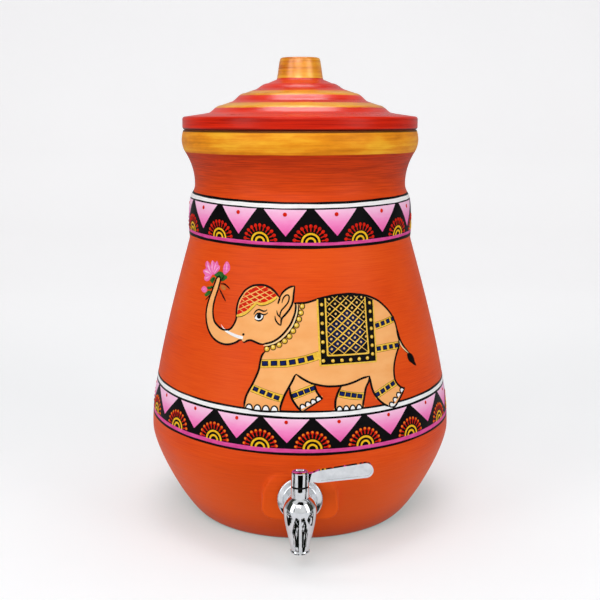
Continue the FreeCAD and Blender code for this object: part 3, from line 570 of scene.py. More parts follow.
def addNail(sheet, half, high, steps=10):
    # a toenail: half an oval on a straight foot
    turns = [math.pi * k / steps for k in range(steps + 1)]
    addPatch(sheet, [(half * math.cos(turn), high * math.sin(turn)) for turn in turns])


def addSquare(sheet, wide, high):
    x, z = wide / 2, high / 2
    addPatch(sheet, [(-x, -z), (x, -z), (x, z), (-x, z)])


def addHatch(sheet, points, slope, gap, width, shortest=0.6, cut=4):
    # straight strokes at that slope, in degrees, kept inside a filled outline
    turn = math.radians(slope)
    along = Vector((math.cos(turn), math.sin(turn)))
    across = Vector((-math.sin(turn), math.cos(turn)))
    corners = [Vector(p) for p in points]
    levels = [p.dot(across) for p in corners]
    level = math.floor(min(levels) / gap) * gap
    while level < max(levels):
        meets = []
        for p, q in zip(corners, corners[1:] + corners[:1]):
            a, b = p.dot(across) - level, q.dot(across) - level
            if (a < 0) != (b < 0):
                meets.append((p + (q - p) * (a / (a - b))).dot(along))
        meets.sort()
        for u, v in zip(meets[::2], meets[1::2]):
            if v - u > shortest:
                one, two = along * u + across * level, along * v + across * level
                cuts = max(1, int((two - one).length / cut))
                addStroke(sheet, [one + (two - one) * k / cuts for k in range(cuts + 1)], width, soft=False)
        level += gap


def finishMesh(name, sheet):
    mesh = bpy.data.meshes.new(name)
    sheet.to_mesh(mesh)
    sheet.free()
    return mesh


# how far each coat of paint stands out from the clay
coatValues = {
    "hoop": 0.07, "line": 0.12, "flower": 0.11, "dot": 0.15, "farSkin": 0.06, "skin": 0.09, "strap": 0.12,
    "strapGold": 0.15, "strapSquare": 0.18, "cloth": 0.2, "work": 0.23, "inkLine": 0.24, "top": 0.28,
    # the last two lift the painted highlight dots on the beads
    "smallShine": 0.65, "shine": 0.88,
}
brushes = {"strokes": addStroke, "patches": addPatch, "dots": addDot, "nails": addNail,
           "squares": addSquare, "hatches": addHatch}


def drawn(name, coat, shapes):
    # draw the rows of values given for each brush, then make one solid coat of them
    sheet = bmesh.new()
    for brush, rows in shapes.items():
        for row in rows:
            brushes[brush](sheet, *row)
    # cut the flat faces small enough for the pot's curve
    cell = surfaceValues["cell"]
    for axis in (0, 2):
        values = [v.co[axis] for v in sheet.verts]
        level = math.ceil(min(values) / cell) * cell
        while level < max(values):
            place, way = [0, 0, 0], [0, 0, 0]
            place[axis], way[axis] = level, 1
            big = []
            for face in sheet.faces:
                reach = [v.co[axis] for v in face.verts]
                if min(reach) < level < max(reach) and max(reach) - min(reach) > cell / 2:
                    big.append(face)
            parts = set(big) | {e for f in big for e in f.edges} | {v for f in big for v in f.verts}
            bmesh.ops.bisect_plane(sheet, geom=list(parts), plane_co=place, plane_no=way)
            level += cell
    bmesh.ops.recalc_face_normals(sheet, faces=sheet.faces)
    top = bmesh.ops.extrude_face_region(sheet, geom=list(sheet.faces), use_keep_orig=True)["geom"]
    raised = {part for part in top if isinstance(part, bmesh.types.BMVert)}
    for vert in sheet.verts:
        vert.co.y = vert.co.y + coatValues[coat] if vert in raised else surfaceValues["sunk"]
    sheet.transform(Matrix.Scale(mm, 4))
    return finishMesh(name, sheet)


# taking flat pieces round the pot
def buildSurfaceTable(values):
    # the pot's radius at even heights, one point for each
    points, height, index = [], values["from"], 0
    while height <= values["to"]:
        while wallPoints[index + 1][1] < height:
            index += 1
        (r, z), (s, y) = wallPoints[index], wallPoints[index + 1]
        points.append(((r + (s - r) * (height - z) / (y - z)) * mm, 0, height * mm))
        height += values["step"]
    return placed("surfaceTable", pointMesh("surfaceTable", points))


def buildWrapTree():
    # x goes round the pot, y out from its surface and z up it
    tree, given = newTree("wrapOnPot", [
        ("Surface", "Object", None), ("Round", "Float", 0.114), ("First height", "Float", 0.082),
        ("Step", "Float", 0.001), ("Sag", "Float", 0.0), ("Lean", "Float", 0.0),
        ("Sharp angle", "Float", 0.9), ("Join distance", "Float", 0.000002), ("Paint", "Material", None)])
    m = partial(calc, tree)
    table = add(tree, "GeometryNodeObjectInfo", {"Object": given["Surface"]}).outputs["Geometry"]
    position = add(tree, "GeometryNodeInputPosition").outputs[0]
    x, y, z = split(tree, position)
    turn = m("DIVIDE", x, given["Round"])
    wave = m("MULTIPLY", given["Sag"], m("SUBTRACT", 1.0, m("COSINE", m("MULTIPLY", turn, 2.0))))
    height = m("ADD", z, m("ADD", wave, m("MULTIPLY", given["Lean"], m("SINE", turn))))
    row = m("DIVIDE", m("SUBTRACT", height, given["First height"]), given["Step"])
    first = m("FLOOR", row)
    radii = []
    for index in (first, m("ADD", first, 1)):
        sample = add(tree, "GeometryNodeSampleIndex", {"Geometry": table, "Value": position, "Index": index},
                     data_type="FLOAT_VECTOR", clamp=True)
        radii.append(split(tree, sample.outputs[0])[0])
    slope = m("DIVIDE", m("SUBTRACT", radii[1], radii[0]), given["Step"])
    radius = m("ADD", radii[0], m("MULTIPLY", m("MULTIPLY", slope, given["Step"]), m("FRACT", row)))
    steep = m("SQRT", m("ADD", 1.0, m("MULTIPLY", slope, slope)))
    reach = m("ADD", radius, m("DIVIDE", y, steep))
    level = m("SUBTRACT", height, m("MULTIPLY", m("DIVIDE", y, steep), slope))
    position = combined(tree, m("MULTIPLY", reach, m("SINE", turn)),
                        m("MULTIPLY", m("MULTIPLY", reach, m("COSINE", turn)), -1.0), level)
    coat = changed(tree, given["Geometry"], "SetPosition", {"Position": position})
    coat = changed(tree, coat, "MergeByDistance", {"Distance": given["Join distance"]})
    coat = changed(tree, coat, "SetShadeSmooth", {"Shade Smooth": True})
    sharp = m("GREATER_THAN", add(tree, "GeometryNodeInputMeshEdgeAngle").outputs[0], given["Sharp angle"])
    coat = changed(tree, coat, "SetShadeSmooth", {"Selection": sharp, "Shade Smooth": False}, domain="EDGE")
    return leaveTree(tree, coat, [(given["Paint"], True)])


surfaceTable = buildSurfaceTable(surfaceValues)
wrapTree = buildWrapTree()


def onPot(name, mesh, paintName, values=None):
    # one painted layer, closed, riding on the pot
    settings = {"Surface": surfaceTable, "Round": surfaceValues["round"] * mm,
                "First height": surfaceValues["from"] * mm, "Step": surfaceValues["step"] * mm,
                "Paint": paints[paintName], **(values or {})}
    piece = outward(grown(name, mesh, wrapTree, settings))
    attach(piece, "pot")
    return piece


# patterns that repeat
def leaveWithCopies(tree, given, points, turn=0.0):
    # one copy of the drawn shape at each point
    copies = add(tree, "GeometryNodeInstanceOnPoints", {
        "Points": points, "Instance": given["Geometry"], "Rotation": combined(tree, y=turn)})
    return leaveTree(tree, copies.outputs[0], [(given["Paint"], True)])


def buildFanTree():
    # copies of one petal, fanned out round a middle point
    tree, given = newTree("petalFan", [
        ("Petals", "Int", 11), ("Radius", "Float", 0.0085), ("Spread", "Float", 2.8),
        ("Paint", "Material", None)])
    m = partial(calc, tree)
    line = add(tree, "GeometryNodeMeshLine", {"Count": given["Petals"]}).outputs[0]
    share = m("DIVIDE", add(tree, "GeometryNodeInputIndex").outputs[0], m("SUBTRACT", given["Petals"], 1))
    turn = m("MULTIPLY", m("SUBTRACT", share, 0.5), given["Spread"])
    position = combined(tree, x=m("MULTIPLY", given["Radius"], m("SINE", turn)),
                        z=m("MULTIPLY", given["Radius"], m("COSINE", turn)))
    places = changed(tree, line, "SetPosition", {"Position": position})
    return leaveWithCopies(tree, given, places, turn)


def buildRowTree():
    # copies of one motif, one at each point of the guide
    tree, given = newTree("motifRow", [("Guide", "Object", None), ("Paint", "Material", None)])
    places = add(tree, "GeometryNodeObjectInfo", {"Object": given["Guide"]}).outputs["Geometry"]
    return leaveWithCopies(tree, given, add(tree, "GeometryNodeMeshToPoints", {"Mesh": places}).outputs[0])


def buildStringTree():
    # copies of one shape, evenly set along the guide's lines and turned to lie along them
    tree, given = newTree("strungAlong", [
        ("Guide", "Object", None), ("Count", "Int", 4), ("Paint", "Material", None)])
    line = add(tree, "GeometryNodeObjectInfo", {"Object": given["Guide"]}).outputs["Geometry"]
    curve = add(tree, "GeometryNodeMeshToCurve", {"Mesh": line}).outputs[0]
    even = add(tree, "GeometryNodeResampleCurve", {"Curve": curve, "Count": given["Count"]}, mode="COUNT")
    way = split(tree, add(tree, "GeometryNodeInputTangent").outputs[0])
    turn = calc(tree, "ARCTANGENT", calc(tree, "DIVIDE", way[2], way[0]))
    return leaveWithCopies(tree, given, even.outputs[0], calc(tree, "MULTIPLY", turn, -1.0))


fanTree, rowTree, stringTree = buildFanTree(), buildRowTree(), buildStringTree()


def flatCopies(name, tree, mesh, values):
    # run a tree on a flat mesh and keep only the mesh
    thing = grown(name, mesh, tree, values)
    result = thing.data
    bpy.data.objects.remove(thing)
    return result


def guided(name, tree, mesh, lines, values):
    # the same, with a guide of points and lines that goes again afterwards
    points, edges = [], []
    for line in lines:
        edges += [(len(points) + k, len(points) + k + 1) for k in range(len(line) - 1)]
        points += [(x * mm, 0, z * mm) for x, z in line]
    guideMesh = bpy.data.meshes.new(name + "Guide")
    guideMesh.from_pydata(points, edges, [])
    guide = placed(name + "Guide", guideMesh)
    flat = flatCopies(name, tree, mesh, {"Guide": guide, **values})
    bpy.data.objects.remove(guide)
    return flat


def layer(name, paintName, coat, **shapes):
    # one coat of shapes, each drawn where it belongs
    return onPot(name, drawn(name, coat, shapes), paintName)


def strung(name, paintName, coat, lines, count, **shapes):
    # shapes drawn once, then repeated that many times along each line
    flat = guided(name, stringTree, drawn(name, coat, shapes), lines, {"Count": count})
    return onPot(name, flat, paintName)


# paints of the pattern and the tap
# light and dark tone, roughness, grain, scale, relief; then metal and shine where they differ
paintValues = {
    "blackPaint": ((9, 7, 8), (3, 2, 3), 0.42, (1, 1, 4), 120.0, 0.00008),
    "whitePaint": ((255, 254, 253), (240, 237, 238), 0.42, (1, 1, 4), 140.0, 0.0001),
    "pinkPaint": ((236, 92, 168), (214, 64, 140), 0.42, (1, 1, 4), 120.0, 0.0001),
    "yellowPaint": ((255, 206, 40), (232, 170, 20), 0.4, (1, 1, 1), 400.0, 0.0001),
    "redPaint": ((234, 38, 10), (198, 20, 4), 0.4, (1, 1, 1), 400.0, 0.0001),
    "orangePaint": ((250, 150, 30), (232, 116, 16), 0.42, (1, 1, 1), 400.0, 0.0001),
    "skinPaint": ((255, 186, 118), (250, 172, 102), 0.45, (1, 1, 2), 60.0, 0.0001),
    "gildPaint": ((253, 208, 62), (228, 172, 30), 0.34, (1, 1, 1), 500.0, 0.0001, 0.0, 0.45),
    # the pale yellow below is for the painted highlights on the beads
    "highlightPaint": ((255, 238, 160), (252, 222, 120), 0.3, (1, 1, 1), 500.0, 0.00005, 0.0, 0.4),
    "sandPaint": ((248, 204, 122), (236, 182, 92), 0.4, (1, 1, 1), 400.0, 0.0001),
    "navyPaint": ((18, 34, 84), (8, 18, 56), 0.42, (1, 1, 1), 300.0, 0.0001),
    "strapEdgePaint": ((146, 98, 18), (112, 70, 10), 0.4, (1, 1, 1), 300.0, 0.0001),
    "bluePaint": ((20, 38, 104), (10, 22, 74), 0.42, (1, 1, 1), 300.0, 0.0001),
    "creamPaint": ((250, 226, 178), (236, 204, 150), 0.42, (1, 1, 1), 300.0, 0.0001),
    "greenPaint": ((58, 122, 50), (30, 84, 34), 0.42, (1, 1, 1), 300.0, 0.0001),
    "lotusPaint": ((250, 134, 196), (232, 92, 166), 0.42, (1, 1, 3), 200.0, 0.0001),
    "palePink": ((255, 196, 226), (252, 160, 208), 0.42, (1, 1, 3), 200.0, 0.0001),
    "bractPaint": ((204, 122, 58), (176, 96, 40), 0.45, (1, 1, 3), 200.0, 0.0001),
    "blackRubber": ((34, 33, 32), (22, 21, 21), 0.7, (1, 1, 1), 500.0, 0.00005),
    "plainSteel": ((168, 168, 172), (140, 140, 146), 0.35, (1, 1, 12), 90.0, 0.00003, 1.0),
    "whitePlastic": ((232, 231, 226), (222, 220, 214), 0.42, (1, 1, 1), 300.0, 0.00004),
    "blackPlastic": ((38, 38, 40), (27, 27, 29), 0.4, (1, 1, 1), 300.0, 0.00004),
}
fadeValues = {"foot": (240, 84, 168), "middle": (252, 142, 202), "top": (254, 200, 230), "streak": 0.22,
              "brush": ((1, 1, 3), 150.0), "roughness": 0.42, "shine": 0.06, "relief": 0.0002}
paints = {name: paint(name, *values) for name, values in paintValues.items()}


def buildFade(name, low, high, values):
    # pink that pales upwards, brushed
    material, tree, shader = newMaterial(name)
    streak = calc(tree, "MULTIPLY", noise(tree, *values["brush"]), values["streak"])
    share = add(tree, "ShaderNodeMapRange", {
        0: ownPlace(tree)[2], "From Min": low * mm, "From Max": high * mm}).outputs[0]
    tone = calc(tree, "SUBTRACT", calc(tree, "ADD", share, streak), values["streak"] / 2)
    color = ramp(tree, tone, [(0.0, values["foot"]), (0.5, values["middle"]), (1.0, values["top"])])
    wire(shader, {
        "Base Color": color, "Roughness": values["roughness"], "Specular IOR Level": values["shine"],
        "Normal": bump(tree, streak, values["relief"])})
    return material


print("pattern paints made")


# two painted bands
bandValues = {
    "upper": {"round": 97, "ground": (244.3, 281.0), "white": (276.2, 279.2), "pink": (246.8, 249.3),
              "top": 275, "tip": 254, "share": 0.425, "dot": (271.2, 1.7), "sag": 1.3, "lean": -0.5,
              "front": (-137, -84, -38, 10, 59, 112.5), "behind": 9, "tipColor": False},
    "lower": {"round": 130, "ground": (86.3, 121.2), "white": (116.4, 119.6), "pink": (88.3, 91.3),
              "top": 114.6, "tip": 96, "share": 0.445, "dot": (112, 1.5), "sag": 1.5, "lean": -1.3,
              "front": (-142, -101, -63, -27.5, 8.5, 46, 86.5, 128.5), "behind": 11, "tipColor": True},
}
hoopValues = {"columns": 240, "rowHeight": 1.2, "wobble": 0.25}
flowerValues = {"rings": (6.9, 3.5), "ringWidth": 1.6, "ringRise": 0.25, "petals": 11, "spread": 2.85,
                "petalFoot": 8.7, "petalLength": 4.2, "petalWidth": 1.0, "petalEnds": 0.7, "petalRise": 0.18,
                "ball": 1.35, "ballStretch": 1.15, "ballRise": 0.4, "tip": 1.08, "tipShift": 0.35,
                "tipRise": 0.45}
triangleValues = {"tipShift": 0.6, "dotRise": 0.35}


def hoopMesh(name, low, high, coat, around):
    # a hoop with slightly uneven edges, flat and open at its two ends, which meet behind the pot
    rows = max(2, int((high - low) / hoopValues["rowHeight"]) + 1)
    sheet = bmesh.new()

    def edge(turn, seed):
        return hoopValues["wobble"] * (math.sin(5 * turn + seed) + 0.7 * math.sin(11 * turn + 2.3 * seed)
                                       + 0.5 * math.sin(23 * turn + 4.1 * seed)) / 2.2
    loops = []
    for i in range(hoopValues["columns"] + 1):
        turn = 2 * math.pi * i / hoopValues["columns"] - math.pi
        bottom, top = low + edge(turn, low), high + edge(turn, high)
        heights = [bottom + (top - bottom) * k / (rows - 1) for k in range(rows)]
        loop = [(turn * around, surfaceValues["sunk"], z) for z in heights]
        loop += [(turn * around, coatValues[coat], z) for z in heights[::-1]]
        loops.append([sheet.verts.new(Vector(p) * mm) for p in loop])
    for one, two in zip(loops, loops[1:]):
        for k in range(2 * rows):
            following = (k + 1) % (2 * rows)
            sheet.faces.new((one[k], one[following], two[following], two[k]))
    return finishMesh(name, sheet)


def buildBand(name, values, flower):
    # the flowers in front stand at places given one by one, the others evenly behind; a triangle hangs
    # between each two
    around, top = values["round"], values["top"]
    front = [s * around / surfaceValues["round"] for s in values["front"]]
    full = 2 * math.pi * around
    gap = (front[0] + full - front[-1]) / (values["behind"] + 1)
    centres = front + [front[-1] + gap * (k + 1) for k in range(values["behind"])]
    wrap = {"Round": around * mm, "Sag": values["sag"] * mm, "Lean": values["lean"] * mm}
    for label, paintName, (low, high), coat in (
            ("Ground", "blackPaint", values["ground"], "hoop"),
            ("WhiteLine", "whitePaint", values["white"], "line"),
            ("PinkLine", "pinkPaint", values["pink"], "line")):
        onPot(name + label, hoopMesh(name + label, low, high, coat, around), paintName, wrap)
    triangles, dots = [], []
    dotHeight, dotRadius = values["dot"]
    for one, two in zip(centres, centres[1:] + [centres[0] + full]):
        middle, half = (one + two) / 2, (two - one) * values["share"]
        tip = (middle + triangleValues["tipShift"], values["tip"])
        triangles.append(([(middle - half, top), tip, (middle + half, top)],))
        dots.append(((middle, dotHeight), dotRadius, triangleValues["dotRise"]))
    paints[name + "Pink"] = buildFade(name + "Pink", values["tip"], top, fadeValues)
    onPot(name + "Triangles", drawn("triangles", "line", {"patches": triangles}), name + "Pink", wrap)
    onPot(name + "TriangleDots", drawn("dots", "dot", {"dots": dots}), "redPaint", wrap)
    # half flowers stand on the pink line
    places = [[(c, values["pink"][1])] for c in centres]
    angles = [math.radians(a) for a in range(-90, 91, 10)]
    rings = [([(radius * math.sin(a), radius * math.cos(a)) for a in angles],
              flower["ringWidth"], 1.0, flower["ringRise"]) for radius in flower["rings"]]
    far, ball = flower["petalLength"], flower["ball"]
    petal = {"strokes": [([(0, 0), (0, far / 2), (0, far)], flower["petalWidth"], flower["petalEnds"],
                          flower["petalRise"])],
             "dots": [((0, far), ball, flower["ballRise"], ball * flower["ballStretch"])]}
    tip = {"dots": [((0, far + flower["tipShift"]), flower["tip"], flower["tipRise"])]}
    fan = {"Petals": flower["petals"], "Radius": flower["petalFoot"] * mm, "Spread": flower["spread"]}
    petals = flatCopies("petals", fanTree, drawn("petals", "flower", petal), fan)
    motifs = [("FlowerRings", "yellowPaint", drawn("rings", "flower", {"strokes": rings})),
              ("FlowerPetals", "redPaint", petals)]
    if values["tipColor"]:
        tips = flatCopies("tips", fanTree, drawn("tips", "dot", tip), fan)
        motifs.append(("PetalTips", "orangePaint", tips))
    for label, paintName, motif in motifs:
        onPot(name + label, guided(name + label, rowTree, motif, places, {}), paintName, wrap)


for bandName, band in bandValues.items():
    buildBand(bandName, band, flowerValues)
print("bands painted")


# painted elephant
# places are millimetres: round the pot from the middle of the front, and up it
trunkInner = [
    (-77.8, 220.5), (-75.8, 218), (-76, 214), (-76.5, 210), (-77.7, 205), (-78.6, 200), (-78.6, 195),
    (-77.5, 190), (-75, 185), (-71, 182), (-67, 180), (-63, 179.3), (-59.5, 179.8), (-57, 181.5),
    (-54.8, 185), (-53.5, 189.5)
]
crown = [
    (-53.5, 189.5), (-54.2, 195), (-54, 200), (-53, 204), (-51, 207.5), (-48.5, 211), (-45, 213.5),
    (-41, 215.3), (-36, 216), (-31, 216), (-26, 214.5), (-22, 212), (-18.5, 208.5), (-17, 207)
]
earTop = [(-17, 207), (-15, 210.5), (-12, 213.3), (-8, 215.3), (-4.5, 216)]
earEdge = [
    (-4.5, 216), (-5.3, 210), (-5.8, 205), (-7, 201), (-9.5, 197), (-12.5, 193.5), (-14.8, 190.8),
    (-15.2, 186)
]
back = [
    (-5, 203), (0, 203), (5, 203.3), (10, 204.5), (15, 206), (20, 207), (28, 208.3), (36, 208.8),
    (44, 208.8), (50, 208), (56, 207), (60, 206), (65, 204), (70, 201.5), (75, 197.5), (79, 193.5),
    (82, 189.5), (84.5, 184.5), (85.5, 180), (86, 175), (86.3, 170)
]
rump = [
    (86.3, 170), (85, 163.5), (83, 161), (80, 156.5), (77.5, 151.5), (76, 146.5), (75.5, 141.5),
    (76, 137.5), (78.5, 133.5), (81.5, 131), (84.5, 130.3)
]
hindSole = [(84.5, 130.3), (80, 125), (76, 120.5), (72, 117.3), (68, 118.2)]
hindShin = [
    (68, 118.2), (64, 120.5), (60, 124), (57, 128), (55, 132), (54, 136), (53.5, 140), (53, 144.5)
]
belly = [
    (53, 144.5), (47, 143.5), (41, 141.5), (35, 140), (30, 139.3), (25, 139.2), (19, 139.5), (13, 140.8),
    (8, 142.3), (3, 145), (0, 147), (-2.8, 149.2)
]
foreLeg = [
    (-2.8, 149.2), (-4, 147.5), (-5.5, 144), (-7.3, 140.5), (-9, 137), (-10.5, 134), (-12, 130),
    (-13.5, 125), (-14, 120.5)
]
foreSole = [(-14, 120.5), (-22, 120), (-32, 120.2), (-40.2, 121.5)]
foreShin = [
    (-40.2, 121.5), (-40, 126.5), (-39, 131), (-37, 136), (-35, 140), (-33, 145), (-31.5, 149),
    (-30.5, 153), (-30, 158), (-29, 162.5), (-26.5, 166)
]
mouth = [
    (-27.5, 171), (-31.5, 171.2), (-35.5, 172.5), (-39, 173.5), (-42, 172.8), (-44.3, 171.3),
    (-45.5, 171.8)
]
trunkOuter = [
    (-46.5, 173), (-48.5, 172.8), (-51, 171), (-55, 169.3), (-60, 168.3), (-66, 168.8), (-72, 171),
    (-77, 174.5), (-81, 179), (-84, 184.5), (-85.7, 190), (-86, 196), (-85, 202), (-83.5, 207.5),
    (-82, 213), (-80.5, 218), (-77.8, 220.5)
]
farHindLeg = [(31, 139.8), (28.5, 136.5), (26.5, 132), (25.3, 128), (25, 123.5), (25, 120)]
farHindBack = [(45.5, 120), (46, 124), (47, 128), (48, 132), (49.5, 136.5), (52, 140.5), (53, 144.5)]
farForeLeg = [(-7.3, 139), (-7, 135), (-5.5, 130), (-3.5, 126.5), (-1, 123), (1.5, 120.5)]
farForeBack = [(16.3, 130.3), (13.5, 133), (12, 135.5), (11, 138.5), (10.5, 141.5)]
cheek = [
    (-29, 171.2), (-23.9, 172.3), (-19.4, 174.3), (-14.5, 178.1), (-10.5, 182.7), (-7.4, 187.1),
    (-5.1, 192.5), (-3.7, 196.9), (-3.5, 201.8), (-4.8, 203.1)
]
collar = [
    (-28.2, 169.9), (-23.4, 171.1), (-18.4, 173.1), (-13.6, 176.7), (-9.4, 181.2), (-6, 186.1),
    (-3.7, 191.6), (-2.4, 196.9), (-2.2, 201.8)
]
collarEdge = [
    (-27, 168.9), (-22.8, 170), (-17.6, 172.1), (-12.6, 175.9), (-8.3, 180.6), (-4.9, 185.7),
    (-2.7, 191.2), (-1.5, 196.7), (-1.2, 202)
]
beadLine = [
    (1.8, 200.6), (0.9, 196.2), (-0.6, 191.1), (-3, 185.7), (-5.9, 181.2), (-8.7, 177.2), (-12.3, 173.8),
    (-16.8, 170.7), (-21.2, 169), (-25.4, 167.6)
]
capTop = [
    (-53.2, 191.4), (-52.9, 195.7), (-52, 200.2), (-50.4, 204.9), (-47.7, 209.1), (-43.2, 212.7),
    (-38.4, 214.9), (-33, 215.6), (-27.6, 214.4), (-23.2, 211.9), (-20, 208.8), (-19.2, 207.4)
]
capRimFront = [
    (-53.4, 191.2), (-50.5, 191.8), (-46.5, 193.4), (-42.6, 196.4), (-39.3, 199.7), (-36.5, 202.5)
]
capRimBack = [(-36.5, 202.2), (-32.8, 201.5), (-27.8, 202.5), (-23, 204.9), (-19.2, 207.6)]
tusk = [
    (-67.3, 183), (-64.4, 180.8), (-60.1, 179), (-55, 177.6), (-49.6, 176.4), (-45.6, 175.8),
    (-45.9, 173.7), (-48.8, 173.9), (-54.2, 175.1), (-59.9, 177), (-64.2, 179.4)
]
eye = [
    (-37.3, 190.8), (-36.7, 190.1), (-35.7, 189.5), (-33.6, 189), (-31.7, 189.5), (-30.4, 191),
    (-30, 192.6), (-30.2, 193.4), (-33.3, 194.5), (-35, 194.2), (-36.4, 192.9)
]
tailTuft = [
    (93, 155.3), (94.5, 157.4), (96.6, 156.2), (99.3, 154.2), (100.8, 151), (101, 148.4), (102.4, 144.7),
    (98.8, 146.3), (96.9, 147.8), (94.4, 149.7), (92.9, 152.8)
]
saddleOutline = [
    (14.4, 205.8), (21.4, 207.8), (29.2, 208.8), (37.2, 208.9), (44.5, 208.5), (52.9, 207.5),
    (59.5, 205.2), (65, 202.6), (62.4, 180.8), (60.4, 155.2), (36.1, 155.2), (15, 154.9), (14.6, 180)
]
saddleField = [
    (21.2, 206.6), (29, 207.6), (37, 207.8), (45, 207.4), (57, 205.6), (55.4, 184.9), (54.2, 162.4),
    (21, 162.8)
]
straps = [  # line, width
    ([(-30.2, 156.1), (-16.2, 157.1), (-9.5, 157.6), (-2.5, 158.8), (4.4, 160.3), (11.2, 162.3),
      (14.6, 163.3)], 6.0),
    ([(63.6, 182.2), (71.7, 183.4), (77.9, 184.5), (83.8, 185.7)], 5.1),
    ([(61.6, 164.5), (69.3, 164.7), (75.3, 164.8), (86, 164.4)], 5.3),
    ([(-35.4, 137.2), (-27.4, 134.6), (-20, 132.2), (-12.4, 130.3)], 5.5),
    ([(-6.2, 132), (0, 134.7), (5, 136.8), (10.8, 139)], 5.3),
    ([(27.2, 134), (33.3, 132), (40.1, 130.5), (46.8, 129.6)], 5.3),
    ([(55.8, 128.4), (62.5, 131.3), (69.3, 134.1), (76.6, 136.4)], 5.3),
]
strapSquareLines = [
    [(65.6, 182.6), (83, 185.6)], [(64, 164.6), (82.4, 164.6)], [(-32.3, 136.5), (-16.6, 131)],
    [(-3.6, 133.1), (9.2, 138.2)], [(30.4, 133.1), (43.8, 130)], [(58.2, 129.5), (73, 135.6)],
]
chestSquareLine = [
    (-26.3, 156.5), (-19.8, 157), (-13, 157.3), (-6.1, 158.2), (0.8, 159.5), (7.7, 161.3), (13.8, 163.1)
]
saddleSides = [[(17.9, 201.6), (17.5, 158.9)], [(61, 200.5), (57.8, 161.2)]]
saddleFoot = [[(24.8, 158.6), (52.8, 158.5)]]
saddleEdges = [  # line, width, thinness of its ends, rise
    ([(14.4, 205.6), (14.7, 180), (15.1, 155.1)], 1.5, 1.0, 0.25),
    ([(15.1, 155.3), (36.1, 155.7), (60.5, 155)], 1.2, 1.0, 0.2),
    ([(60.4, 155), (62.4, 180.8), (64.9, 202.2)], 1.1, 1.0, 0.2),
    ([(21.2, 206.4), (20.9, 183.8), (21, 162.6)], 1.3, 1.0, 0.22),
    ([(21, 162.8), (36.6, 162.5), (54.4, 162.2)], 1.2, 1.0, 0.2),
    ([(54.3, 162), (55.4, 184.9), (57, 205.4)], 1.2, 1.0, 0.2),
]
creases = [
    [(-20.3, 193), (-19.7, 190), (-17.7, 187.4), (-15.3, 186.1), (-14.9, 190.1)],
    [(-15, 202.9), (-14.1, 206.5), (-11.7, 208.9), (-9.7, 208.9), (-9, 207), (-9.9, 203.5),
     (-12.4, 200.3), (-15.2, 197.2), (-16.3, 193.1), (-15.2, 191)],
    [(-19.1, 197.1), (-18, 194), (-15.5, 191.4)],
    [(-37.4, 190.9), (-36.5, 192.9), (-35, 194.2), (-33.3, 194.5), (-30.1, 193.5), (-28.2, 193.9),
     (-26.4, 195.1)],
    [(-38.2, 193.3), (-37.4, 195.1), (-35.7, 196.7), (-33.7, 197.2), (-30.3, 196.2), (-28.6, 196.3),
     (-27.1, 197.5)],
    [(-37, 189.5), (-35.4, 189), (-33.5, 188.7), (-31.6, 189.3), (-30.2, 190.9), (-29.9, 192.8)],
    [(25, 120), (35, 119.8), (45.5, 120)], [(1.5, 120.5), (8, 124.8), (16.3, 130.3)],
    [(-74.6, 214.2), (-70.3, 214.4), (-66.6, 212.8), (-63.9, 211.2)],
    [(-75.2, 210.4), (-71.2, 206.4), (-66.3, 201.4)], [(-83.4, 218.2), (-85, 216)],
    [(-72.4, 220.8), (-74.5, 216.3)], [(-82.8, 211), (-86, 209.2)], [(-85, 204.3), (-89.3, 200)],
]
lotusShape = [
    (-98, 230.4), (-94.5, 229), (-92.3, 227), (-91.7, 230.2), (-90.6, 231.6), (-87.8, 230.3),
    (-86.4, 229.8), (-84.4, 231.6), (-82.3, 230.1), (-81.4, 228.4), (-79.2, 227.7), (-79, 225.5),
    (-80.7, 223.4), (-82.6, 221.8), (-84.2, 220.7), (-87, 220.4), (-87.8, 219.1), (-88.9, 217.3),
    (-89.9, 215.5), (-92.2, 214.5), (-96, 215.1), (-97.6, 216.9), (-96.4, 218.7), (-98.3, 219.8),
    (-100.8, 221.2), (-100.8, 223), (-98.5, 223.6), (-97.4, 224.5), (-99.4, 226.6), (-100, 229)
]
budShapes = [
    [(-72.1, 232.1), (-67.8, 229.3), (-67.3, 225.5), (-72, 221.7), (-74.4, 224), (-74.8, 228.3)],
    [(-94.8, 210.4), (-91.3, 209.5), (-90, 208.4), (-90.2, 206.4), (-93.1, 205.3), (-96.2, 206),
     (-98, 207.5), (-97.4, 209.3)],
]
leafShapes = [
    [(-84.4, 220.2), (-81.6, 222.4), (-78.2, 223.9), (-74.6, 223.2), (-72.8, 221.7), (-69, 220.8),
     (-68.3, 219.4), (-70.7, 217.5), (-73.6, 216.3), (-76.6, 218.5), (-80, 218.8)],
    [(-86.3, 218.3), (-88.6, 215.4), (-86.2, 214.1), (-84.7, 213.3), (-83, 215.4), (-82.3, 218.4)],
    [(-91.1, 210.2), (-87.2, 210.9), (-84.3, 211.9), (-83.2, 210.8), (-86.6, 208.7), (-89.7, 208.7)],
    [(-88.5, 207.3), (-84.9, 207.5), (-86, 204.4), (-90.2, 202.5), (-92.3, 203.7), (-90.1, 205.9)],
]
bractShape = [
    (-74.3, 213.2), (-70.7, 213.4), (-67.6, 211.7), (-68.6, 209.8), (-71.4, 209.8), (-73.5, 211)
]
lotusVeins = [
    [(-88.5, 221.5), (-94, 225.4), (-97.4, 229.4)], [(-87.6, 222), (-89.6, 227), (-90.5, 230.8)],
    [(-86, 222), (-85.4, 227), (-84.6, 230.6)], [(-84.6, 221.8), (-82.4, 225), (-80.4, 227)],
    [(-89.6, 220.8), (-94.6, 221.8), (-99.6, 222.2)], [(-90.4, 218.8), (-93, 217.4), (-95.8, 216.6)],
    [(-71, 224), (-70.8, 227.6), (-71.6, 230.6)], [(-94.6, 207), (-94.2, 209)],
]
